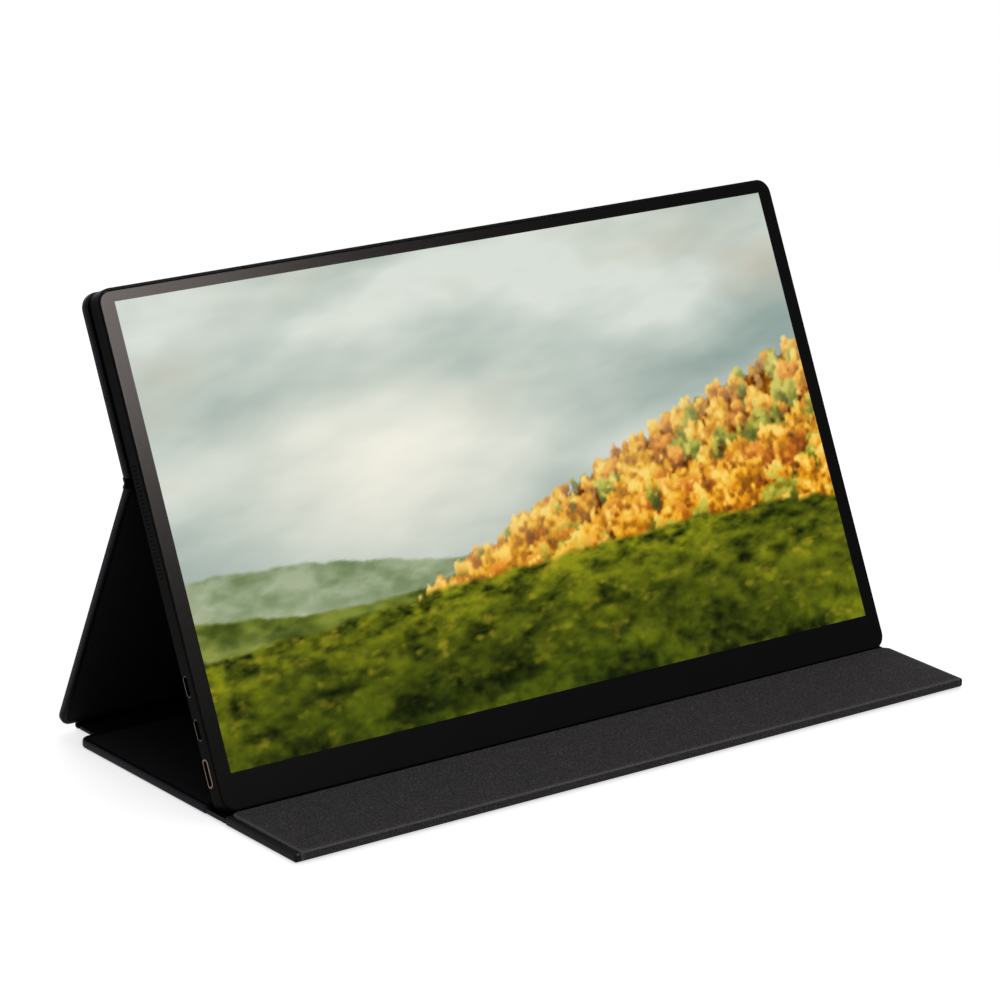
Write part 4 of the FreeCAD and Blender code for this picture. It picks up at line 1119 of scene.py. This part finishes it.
@dataclass(frozen=True)
class Cover:
    """The folding cover: three lined panels, the flap, the spine strip and four creases.

    Attributes:
        back: Outline of the panel behind the screen, in the display's frame, in mm.
        strut: Outline of the strut, in its own frame, in mm.
        base: Outline of the base panel, in mm.
        spine: Outline of the spine strip, in mm.
        thick: Thickness of the back and the base panel, in mm.
        strut_thick: Thickness of the strut, in mm.
        spine_thick: Thickness of the spine strip, in mm.
        flap: The front flap.
        groove_fold: Place of the flap's fold, in mm.
        back_axis: Place of the back crease's fold up the strut, in mm.
        overlap: How far that crease runs under the strut and the back panel from its fold, in mm.
    """

    back: Outline = Outline(COVER_WIDTH, 139.3, 215.4, 1.2, 6.8)
    strut: Outline = Outline(COVER_WIDTH, 4.4, 129.7, 5.5, 1.2)
    base: Outline = Outline(COVER_WIDTH, 12.0, 103.393, 1.2, 5.0)
    spine: Outline = Outline(COVER_WIDTH - 2 * SPINE_INSET, 106.593, 118.593, 1.5, 1.5)
    thick: float = 3.6
    strut_thick: float = 3.3
    spine_thick: float = 1.6
    flap: Flap = Flap()
    groove_fold: float = 2.0
    back_axis: float = 131.2994
    overlap: float = 2.6

    def build(self) -> None:
        """Build every panel and crease in order from the back to the front."""
        for panel in (
            CoverPanel("back", "display", DISPLAY, self.back, -self.thick, self.thick),
            CoverPanel("strut", "strut", STRUT, self.strut, 0.0, self.strut_thick),
            CoverPanel("base", "base", BASE, self.base, 0.0, self.thick),
        ):
            panel.build()
        self.flap.build()
        self.build_spine()
        for crease in self.creases():
            crease.build()

    def build_spine(self) -> bpy.types.Object:
        """Build the narrow strip: a flat slab with rounded edges.

        Returns:
            The strip's object.
        """
        soft, under = 0.5, 1.5
        profile = slab_profile(0.0, self.spine_thick, soft, under, steps=5)
        profile += [(soft + under, self.spine_thick)]
        points, faces = lofted(self.spine, profile, BASE)
        # The strip's edges are painted paler: wear, and a painted highlight.
        wear_and_highlight = edge_wear_and_highlight(profile, soft) ** 2
        piece = Piece("spine_leather", points, faces, SKIN, "cover_skin", wear_and_highlight, ("spine_strip",))
        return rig.ride(piece.build(), "spine")

    def creases(self) -> list[Crease]:
        """List the four creases with their paths at rest.

        Returns:
            The creases, from the front to the back.
        """
        half, axis = COVER_WIDTH / 2, FOLD_HEIGHT
        narrow, base_rear, spine_front = half - SPINE_INSET, self.base.rear, self.spine.front
        rear_axis = REAR_AXIS_Y - FRONT_Y
        turn, fall = math.radians(STRUT_TURN), math.radians(BACK_TURN)
        foot = (rear_axis + self.strut.front * math.cos(turn), axis + self.strut.front * math.sin(turn))
        hold = (self.back_axis + self.overlap * math.cos(fall), axis + self.overlap * math.sin(fall))
        groove_back, fold_back = 0.2, 0.05
        return [
            Crease(
                "groove_crease", "front_crease", ("flap", "base"), BASE,
                (self.flap.tray.rear, axis), (self.groove_fold, axis), (self.base.front, axis),
                half - groove_back, reach=2.4, bead=1.7,
            ),
            Crease(
                "base_fold", "base_crease", ("base", "spine"), BASE,
                (base_rear, axis), ((base_rear + spine_front) / 2, axis), (spine_front, axis), narrow,
            ),
            Crease(
                "rear_fold", "rear_crease", ("spine", "strut"), BASE,
                (self.spine.rear, axis), (rear_axis, axis), foot, narrow, reach=1.2,
            ),
            Crease(
                "back_fold", "back_crease", ("strut", "display"), STRUT,
                (self.back_axis - self.overlap, axis), (self.back_axis, axis), hold,
                half - fold_back, thick=1.1, reach=0.6,
            ),
        ]


# Kinds of trees: the limit of the draw that takes each, and its dark, full and bright leaves
LEAF_TONES = (
    (0.12, "#2E3509", "#858A1E", "#C9C24A"),
    (0.34, "#5A2205", "#CE6A10", "#F5A83A"),
    (1.00, "#6E3405", "#EF9D12", "#FFD966"),
)


@dataclass(frozen=True)
class Landscape:
    """A generic wallpaper: a pale cloudy sky, green hills and a golden autumn wood, all from formulas.

    Attributes:
        u: Distance of each point from the left edge, in picture heights.
        v: Distance of each point from the lower edge, in picture heights.
    """

    u: np.ndarray
    v: np.ndarray

    @staticmethod
    def noise(x: np.ndarray, y: np.ndarray, seed: int, octaves: int = 4) -> np.ndarray:
        """Sum value noises: random heights on a lattice joined by smooth steps, each octave half as large.

        Args:
            x: First coordinate, in cells of the coarsest lattice.
            y: Second coordinate.
            seed: Seed of the lattice.
            octaves: Number of layers.

        Returns:
            Values from 0 to 1.
        """
        cells = 256
        lattice = np.random.default_rng(seed).random((cells, cells))
        total, weight = np.zeros_like(x), 0.0
        for layer in range(octaves):
            # Each octave is moved, so that the lines of the lattices don't fall together
            px, py = x * 2**layer + 17 * layer, y * 2**layer + 31 * layer
            ix, iy = np.floor(px).astype(int), np.floor(py).astype(int)
            fx, fy = px - ix, py - iy
            fx, fy = fx * fx * (3 - 2 * fx), fy * fy * (3 - 2 * fy)
            a, b = (lattice[(ix + k) % cells, iy % cells] for k in (0, 1))
            c, d = (lattice[(ix + k) % cells, (iy + 1) % cells] for k in (0, 1))
            low, high = a * (1 - fx) + b * fx, c * (1 - fx) + d * fx
            total += (low * (1 - fy) + high * fy) / 2**layer
            weight += 1 / 2**layer
        return total / weight

    @staticmethod
    def mix(first: str | np.ndarray, second: str | np.ndarray, share: np.ndarray) -> np.ndarray:
        """Mix two colours, hex texts or sRGB arrays, by a share from 0 to 1."""
        none, full = (srgb(colour) if isinstance(colour, str) else colour for colour in (first, second))
        return none + (full - none) * np.clip(share, 0, 1)[..., None]

    def colours(self) -> np.ndarray:
        """Paint from the back to the front: sky, far ridges, wood and meadow.

        Returns:
            N x 3 array of sRGB values.
        """
        picture = self.sky()
        for level, swell, hue, shade, seed in (
            (0.40, 0.050, "#A3B08F", "#6F8358", 3),
            (0.33, 0.040, "#7F8B34", "#3C4B12", 4),
        ):
            picture = self.ridge(picture, level, swell, hue, shade, seed)
        return np.clip(self.meadow(self.wood(picture)), 0, 1)

    def sky(self) -> np.ndarray:
        """Paint the sky: drifting bands of cloud, paler round a low sun.

        Returns:
            N x 3 array of sRGB values.
        """
        u, v = self.u, self.v
        drift = self.noise(u * 1.6 + v * 0.9, v * 5.0 - u * 0.8, 1, 5)
        sun_u, sun_v, wide, high = 0.55, 0.50, 0.50, 0.27
        glow = np.exp(-(((u - sun_u) / wide) ** 2) - ((v - sun_v) / high) ** 2)
        picture = self.mix("#8FA39D", "#DCE3DA", (drift - 0.28) * 2.1)
        picture = self.mix(picture, "#B9B3A2", (self.noise(u * 2.3, v * 6.0, 2, 4) - 0.52) * 1.8)
        return self.mix(picture, "#FCF8EA", glow * (0.55 + 0.7 * drift))

    def ridge(
        self, picture: np.ndarray, level: float, swell: float, hue: str, shade: str, seed: int
    ) -> np.ndarray:
        """Lay one hill: its crest is a sum of two sines, and its mottled flank sinks into mist.

        Args:
            picture: Colours so far.
            level: Mean height of the crest.
            swell: Height of its waves.
            hue: Lit colour, sRGB hex.
            shade: Shaded colour, sRGB hex.
            seed: Seed of its mottling.

        Returns:
            The colours with the hill.
        """
        u, v = self.u, self.v
        mist_depth, soft_edge = 0.16, 0.006
        crest = level + swell * np.sin(2.3 * u + seed) + swell * 0.35 * np.sin(6.1 * u + 2 * seed)
        crest = crest + 0.012 * (self.noise(u * 26, v * 0, seed, 3) - 0.5)
        flank = self.mix(hue, shade, (self.noise(u * 15, v * 34, seed + 5, 5) - 0.30) * 2.4)
        flank = self.mix(flank, "#E2E4D2", 0.5 * np.clip((crest - v) / mist_depth, 0, 1) ** 1.5)
        return self.mix(picture, flank, (crest - v) / soft_edge)

    def meadow(self, picture: np.ndarray) -> np.ndarray:
        """Lay the meadow: noises of three sizes, weighted (1 - t)^2, 2 t (1 - t) and t^2 from far to near.

        Args:
            picture: Colours so far.

        Returns:
            The colours with the meadow.
        """
        u, v = self.u, self.v
        depth, soft_edge = 0.26, 0.012
        crest = 0.27 + 0.035 * np.sin(1.9 * u + 5.2) + 0.02 * (self.noise(u * 18, v * 0, 11, 3) - 0.5)
        t = np.clip((crest - v) / depth, 0, 1)
        fine, middle = 0.2 + 0.6 * self.noise(u * 36, v * 80, 12, 3), self.noise(u * 17, v * 36, 14, 4)
        coarse = 0.6 * self.noise(u * 8, v * 15, 16, 5) + 0.4 * self.noise(u * 42, v * 64, 17, 3)
        tuft = (1 - t) ** 2 * fine + 2 * t * (1 - t) * middle + t**2 * coarse
        sun = self.noise(u * 2.2 + v, v * 6, 15, 3) + 0.16 - 0.34 * t
        grass = self.mix("#0F1704", "#4C5A0E", (tuft - 0.30) * 2.6)
        grass = self.mix(grass, "#8C8F17", (sun - 0.34) * 2.2 * np.clip(tuft * 2.6 - 0.8, 0, 1))
        grass = self.mix(grass, "#C0AA2C", (self.noise(u * 30, v * 52, 13, 3) - 0.62) * 3.0 * sun)
        return self.mix(picture, grass, (crest - v) / soft_edge)

    def wood(self, picture: np.ndarray) -> np.ndarray:
        """Lay an autumn wood that climbs to the right: a mottled slope, then crowns on it from far to near.

        A crown is a disc with a ragged edge, lit from the upper left. Far crowns are small and hazy.

        Args:
            picture: Colours so far.

        Returns:
            The colours with the wood.
        """
        u, v = self.u, self.v
        count, left, span, foot, slope_edge, leaf_edge, outermost = 560, 0.60, 1.26, 0.16, 0.012, 0.22, 1.7
        grain = 0.5 * self.noise(u * 26, v * 26, 23, 3) + 0.5 * self.noise(u * 75, v * 75, 24, 2) - 0.5
        slope = self.mix("#5E2C06", "#D58A18", 0.5 + 2.4 * grain)
        picture = self.mix(picture, slope, (self.brow(u) + 0.05 * grain - v) / slope_edge)
        draw = np.random.default_rng(21)
        depth = np.sort(draw.random(count) ** 1.5)
        middle_u = left + span * draw.random(count)
        top = self.brow(middle_u)
        middle_v = top - (top - foot) * depth
        reach = (0.020 + 0.062 * depth) * (0.7 + 0.6 * draw.random(count))
        for k, hue in enumerate(draw.random(count)):
            du, dv = (u - middle_u[k]) / (0.85 * reach[k]), (v - middle_v[k]) / reach[k]
            near = np.flatnonzero(np.hypot(du, dv) < outermost)
            du, dv, rough = du[near], dv[near], grain[near]
            lit = 0.44 - 0.22 * du + 0.30 * dv + 1.7 * rough
            dark, full, bright = next(tones for limit, *tones in LEAF_TONES if hue < limit)
            leaf = self.mix(self.mix(dark, full, lit * 1.6), bright, (lit - 0.55) * 2.2)
            leaf = self.mix(leaf, "#EBDFB8", np.full_like(lit, 0.38 * (1 - depth[k]) ** 2))
            within = (1.0 + 1.6 * rough - np.hypot(du, dv)) / leaf_edge
            picture[near] = self.mix(picture[near], leaf, within)
        return picture

    @staticmethod
    def brow(u: np.ndarray) -> np.ndarray:
        """Height of the wood's brow: 0.20 + 0.45 t ** 0.75, t running from 0 at u = 0.52 to 1 at 1.78."""
        foot, rise, start, run = 0.20, 0.45, 0.52, 1.26
        return foot + rise * np.clip((u - start) / run, 0, 1) ** 0.75


@dataclass(frozen=True)
class Screen:
    """The display's front: printed border and lit picture, flush in one face.

    Attributes:
        glass: Outline of the cover glass, in mm.
        active: Outline of the lit area, in mm.
        low: Under side of the glass's flange over the shell in the display frame, in mm.
        top: Front of the glass, in mm.
        soft: Width of the glass's rounded edge, in mm.
        columns: Points of the picture along x.
        rows: Points of the picture along y.
        tooth: Drawn size of the film's faint tooth, in mm.
        glow: Strength of the picture's own light.
    """

    glass: Outline = Outline(358.2, 0.4, 213.7, 6.1, 5.4)
    active: Outline = Outline(344.16, 15.4, 208.99, 0.05, 0.05)
    low: float = 9.02
    top: float = 9.3
    soft: float = 0.6
    columns: int = 416
    rows: int = 234
    tooth: float = 0.6
    glow: float = 0.96

    def build(self) -> None:
        """Build the border and the picture and let them ride."""
        border = self.build_border()
        picture = self.build_picture()
        for piece in (border, picture):
            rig.ride(piece, "display")

    def build_border(self) -> bpy.types.Object:
        """Build the border: rings run up the outside, over the soft edge, to the window and down inside it.

        Returns:
            The border's object.
        """
        upright, flat = 0.04, 0.8
        profile = [(0.0, self.low)]
        profile += quarter((0.0, self.low + upright), (self.soft, self.top), False, steps=5)
        profile += [(self.soft + flat, self.top)]
        rings = [self.glass.ring(inset, height) for inset, height in profile]
        rings += [self.active.ring(0.0, height) for height in (self.top, self.low)]
        faces = grid_faces(len(rings), RING_POINTS, closed_rows=True, closed_columns=True).tolist()
        points = DISPLAY.place(np.concatenate(rings))
        return Piece("glass_border", points, faces, BORDER, "screen_glass", None, ("front_glass",)).build()

    def build_picture(self) -> bpy.types.Object:
        """Build the lit area: a grid of coloured points on the front face, with a closed skirt below it.

        Returns:
            The picture's object.
        """
        half = self.active.width / 2
        x = np.linspace(-half, half, self.columns)
        y = np.linspace(self.active.front, self.active.rear, self.rows)
        gx, gy = np.meshgrid(x, y)
        face = np.column_stack([gx.ravel(), gy.ravel(), np.full(gx.size, self.top)])
        grid = np.arange(gx.size).reshape(gx.shape)
        rim = np.concatenate([grid[0, :-1], grid[:-1, -1], grid[-1, :0:-1], grid[:0:-1, 0]])
        skirt = face[rim] * [1, 1, 0] + [0, 0, self.low]
        below = gx.size + np.arange(rim.size)
        sides = np.stack([rim, below, np.roll(below, -1), np.roll(rim, -1)], 1)
        faces = grid_faces(self.rows, self.columns).tolist() + sides.tolist() + [below[::-1].tolist()]
        points = DISPLAY.place(np.concatenate([face, skirt]))
        made = Piece("screen_picture", points, faces, None, "panel_cell").build()
        high = self.active.rear - self.active.front
        shown = Landscape((face[:, 0] + half) / high, (face[:, 1] - self.active.front) / high).colours()
        colour = np.concatenate([linear(shown), np.zeros((rim.size, 3))])
        opaque = np.column_stack([colour, np.ones(len(colour))]).astype(np.float32)
        layer = made.data.attributes.new("picture", "FLOAT_COLOR", "POINT")
        layer.data.foreach_set("color", opaque.ravel())
        made.data.materials.append(self.dress())
        return made

    def dress(self) -> bpy.types.Material:
        """Make the lit panel: its own light from the picture attribute under a dark, faintly glossy glass.

        Returns:
            The node material.
        """
        made, tree, shader = new_material("lit_liquid_crystal_panel")
        picture = add_node(tree, "ShaderNodeAttribute", attribute_name="picture").outputs["Color"]
        place = add_node(tree, "ShaderNodeTexCoord").outputs["Object"]
        # Real pixels are 0.18 mm, too fine to show; only the tooth of the film over them is drawn
        dull = remap(tree, mottle(tree, place, 1 / (self.tooth * MM)), target=(0.2, 0.24))
        values = {"Emission Strength": self.glow, "Base Color": rgba("#020202"), "Specular IOR Level": 0.008}
        wire(tree, shader, values, {"Roughness": dull, "Emission Color": picture})
        return made


@dataclass(frozen=True)
class SocketRim:
    """The bright rim of the lowest socket, on the shell's left wall.

    Attributes:
        along: Place of its middle up the display, in mm.
        deep: Place of its middle in the display's thickness, in mm.
        straight: Half of its straight part, in mm.
        radius: Radius of its middle line at the ends, in mm.
        half: Half of its width, in mm.
        proud: Height over the wall, in mm.
        sunk: Depth of its foot in the wall, in mm.
        wall: Distance of the wall from the middle plane, in mm.
        taper_start: Where the wall starts to draw in towards the back, in mm.
        taper: How far the wall draws in for each mm from there.
    """

    along: float = 17.3
    deep: float = 4.05
    straight: float = 4.1
    radius: float = 1.58
    half: float = 0.3
    proud: float = 0.16
    sunk: float = 0.25
    wall: float = 179.5
    taper_start: float = 2.6
    taper: float = 1.72

    def build(self) -> bpy.types.Object:
        """Carry a half ellipse round a slot: r = radius + half cos s, height = proud sin s, closed below.

        Returns:
            The rim's object.
        """
        steps, section_points = 17, 9
        s = np.linspace(0, math.pi, section_points)
        across = np.concatenate([self.half * np.cos(s), [-self.half, self.half]])
        height = np.concatenate([self.proud * np.sin(s), [-self.sunk, -self.sunk]])
        turn = np.linspace([-0.5, 0.5], [0.5, 1.5], steps).T.reshape(-1, 1) * math.pi
        end = np.repeat([self.straight, -self.straight], steps)[:, None]
        r = self.radius + across[None, :]
        y, z = self.along + end + r * np.cos(turn), self.deep + r * np.sin(turn)
        face = self.wall - self.taper * np.clip(self.taper_start - z, 0, None)
        points = np.stack([-(face + height[None, :]), y, z], 2).reshape(-1, 3)
        faces = grid_faces(turn.size, s.size + 2, closed_rows=True, closed_columns=True).tolist()
        piece = Piece("mini_hdmi_rim", DISPLAY.place(points), faces, BRONZE, "socket_metal")
        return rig.ride(piece.build(), "display")


@dataclass(frozen=True)
class Lamp:
    """A soft rectangular lamp.

    Attributes:
        name: Its name.
        place: Where it hangs, in metres.
        aim: The point that it faces, in metres.
        size: Width and height, in metres.
        power: In watts.
        colour: Colour of its light, sRGB hex.
        lights_matt: False if it only gives the glass its soft mirror and leaves matt surfaces alone.
    """

    name: str
    place: tuple[float, float, float]
    aim: tuple[float, float, float]
    size: tuple[float, float]
    power: float
    colour: str = "#FFFFFF"
    lights_matt: bool = True

    def build(self) -> bpy.types.Object:
        """Hang the lamp and turn it to its aim.

        Returns:
            The lamp's object.
        """
        lamp = bpy.data.lights.new(self.name, "AREA")
        lamp.shape = "RECTANGLE"
        lamp.size, lamp.size_y = self.size
        lamp.energy = self.power
        lamp.color = linear(self.colour)
        made = add_object(self.name, lamp)
        made.location = self.place
        made.rotation_euler = (Vector(self.aim) - Vector(self.place)).to_track_quat("-Z", "Y").to_euler()
        made.visible_diffuse = self.lights_matt
        return made


@dataclass(frozen=True)
class Studio:
    """A pale floor, soft lamps, a white surround and the camera.

    Attributes:
        focus: Point that the camera looks at, in metres.
        distance: From the focus to the camera, in metres.
        azimuth: Camera's way round from the front, in degrees.
        elevation: Camera's height, in degrees.
        roll: Camera's turn about its own axis, in degrees.
        lens: Focal length, in mm.
        sensor: Width of the camera's sensor, in mm.
        floor_radius: In metres.
        floor_points: Points of its round edge.
        floor_level: A little below the part, in metres.
        floor_lift: Own light of the floor where the eye sees it, which makes its lit paper white.
        fade: Distances from the middle over which the floor turns plain white, in metres.
        fill: Strength of the surround for lighting rays.
        lamps: The lamps.
    """

    focus: tuple[float, float, float] = (0.00337, 0.02272, 0.08671)
    distance: float = 1.94
    azimuth: float = -39.3777
    elevation: float = 18.0759
    roll: float = 2.2313
    lens: float = 164.789
    sensor: float = 36.0
    floor_radius: float = 6.0
    floor_points: int = 128
    floor_level: float = -0.0004
    floor_lift: float = 0.64
    fade: tuple[float, float] = (0.3, 0.9)
    fill: float = 0.3
    lamps: tuple[Lamp, ...] = (
        Lamp("key_lamp", (-0.3, -0.95, 1.0), (0.0, 0.0, 0.08), (0.9, 0.9), 4.2),
        Lamp("top_lamp", (0.25, 0.35, 1.35), (0.0, 0.0, 0.05), (1.1, 0.9), 3.2),
        Lamp("back_lamp", (0.3, 1.25, 0.55), (0.0, 0.06, 0.08), (0.8, 0.8), 4.0),
        Lamp("sheen_lamp", (0.21, -0.50, 0.61), (-0.16, 0.05, 0.18), (0.19, 0.24), 16.5, "#FFF3EC", False),
    )

    def build(self) -> None:
        """Build the floor, lamps, surround and camera."""
        self.build_floor()
        for lamp in self.lamps:
            lamp.build()
        self.build_surround()
        self.build_camera()

    def build_floor(self) -> None:
        """Lay a wide round floor: a fan of points at one radius, white to the camera, with real shadow."""
        turn = np.linspace(0, 2 * math.pi, self.floor_points, endpoint=False)
        level = np.full(turn.size, self.floor_level)
        ring = np.stack([self.floor_radius * np.cos(turn), self.floor_radius * np.sin(turn), level], 1)
        mesh = bpy.data.meshes.new("floor")
        mesh.from_pydata(ring.tolist(), [], [list(range(turn.size))])
        made = add_object("floor", mesh)
        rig.stage(made)
        paint, tree, shader = new_material("matt_paper")
        wire(tree, shader, {"Base Color": rgba("#E6E6E6"), "Roughness": 0.9, "Specular IOR Level": 0.0})
        seen = seen_directly(tree)
        lift = add_node(tree, "ShaderNodeMath", {1: self.floor_lift}, {0: seen}, operation="MULTIPLY")
        glow = add_node(tree, "ShaderNodeEmission", {}, {"Strength": lift.outputs[0]}).outputs[0]
        near = add_node(tree, "ShaderNodeAddShader", {}, {0: shader.outputs[0], 1: glow}).outputs[0]
        white = add_node(tree, "ShaderNodeEmission", {}, {"Strength": seen}).outputs[0]
        place = add_node(tree, "ShaderNodeTexCoord").outputs["Object"]
        away = add_node(tree, "ShaderNodeVectorMath", {}, {0: place}, operation="LENGTH").outputs["Value"]
        far = remap(tree, away, self.fade, interpolation_type="SMOOTHSTEP")
        both = add_node(tree, "ShaderNodeMixShader", {}, {0: far, 1: near, 2: white}).outputs[0]
        tree.links.new(both, tree.nodes["Material Output"].inputs["Surface"])
        mesh.materials.append(paint)

    def build_surround(self) -> None:
        """Make the world: white to the camera and to mirrors, a soft fill for everything else."""
        world = bpy.data.worlds.new("surround")
        bpy.context.scene.world = world
        world.use_nodes = True
        tree = world.node_tree
        back = tree.nodes["Background"]
        level = remap(tree, seen_directly(tree), target=(self.fill, 1.0))
        wire(tree, back, {"Color": (1.0, 1.0, 1.0, 1.0)}, {"Strength": level})

    def build_camera(self) -> None:
        """Stand the camera round the focus at its azimuth, elevation, roll and distance."""
        a, e, r = (math.radians(x) for x in (self.azimuth, self.elevation, self.roll))
        back = Vector((math.sin(a) * math.cos(e), -math.cos(a) * math.cos(e), math.sin(e)))
        right = Vector((0, 0, 1)).cross(back).normalized()
        up = back.cross(right)
        side = math.cos(r) * right + math.sin(r) * up
        top = math.cos(r) * up - math.sin(r) * right
        camera = bpy.data.cameras.new("camera")
        camera.lens = self.lens
        camera.sensor_width = self.sensor
        camera.clip_start, camera.clip_end = 0.05, 50.0
        made = add_object("camera", camera)
        turned = Matrix((side, top, back)).transposed().to_4x4()
        made.matrix_world = Matrix.Translation(Vector(self.focus) + back * self.distance) @ turned
        bpy.context.scene.camera = made


def dress_nodes() -> None:
    """Give every CAD node that keeps showing its real finish."""
    for name, finish in NODE_FINISHES.items():
        mesh = frame["nodes"][name].data
        mesh.materials.clear()
        mesh.materials.append(finish.material())
        log.info("node %s: %s", name, finish.name)


def main() -> None:
    """Build the studio, the cover and the screen, dress the rest and note the two boxes."""
    logging.basicConfig(level=logging.INFO, format="%(name)s: %(message)s")
    bpy.context.scene.view_settings.view_transform = "Standard"
    Studio().build()
    Cover().build()
    Screen().build()
    SocketRim().build()
    dress_nodes()
    bpy.context.view_layer.update()
    with open(SIZE_FILE, "w") as out:
        json.dump({"cad": CAD_BOX, "visual": [list(corner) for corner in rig.bounds()]}, out)


if __name__ == "__main__":
    main()
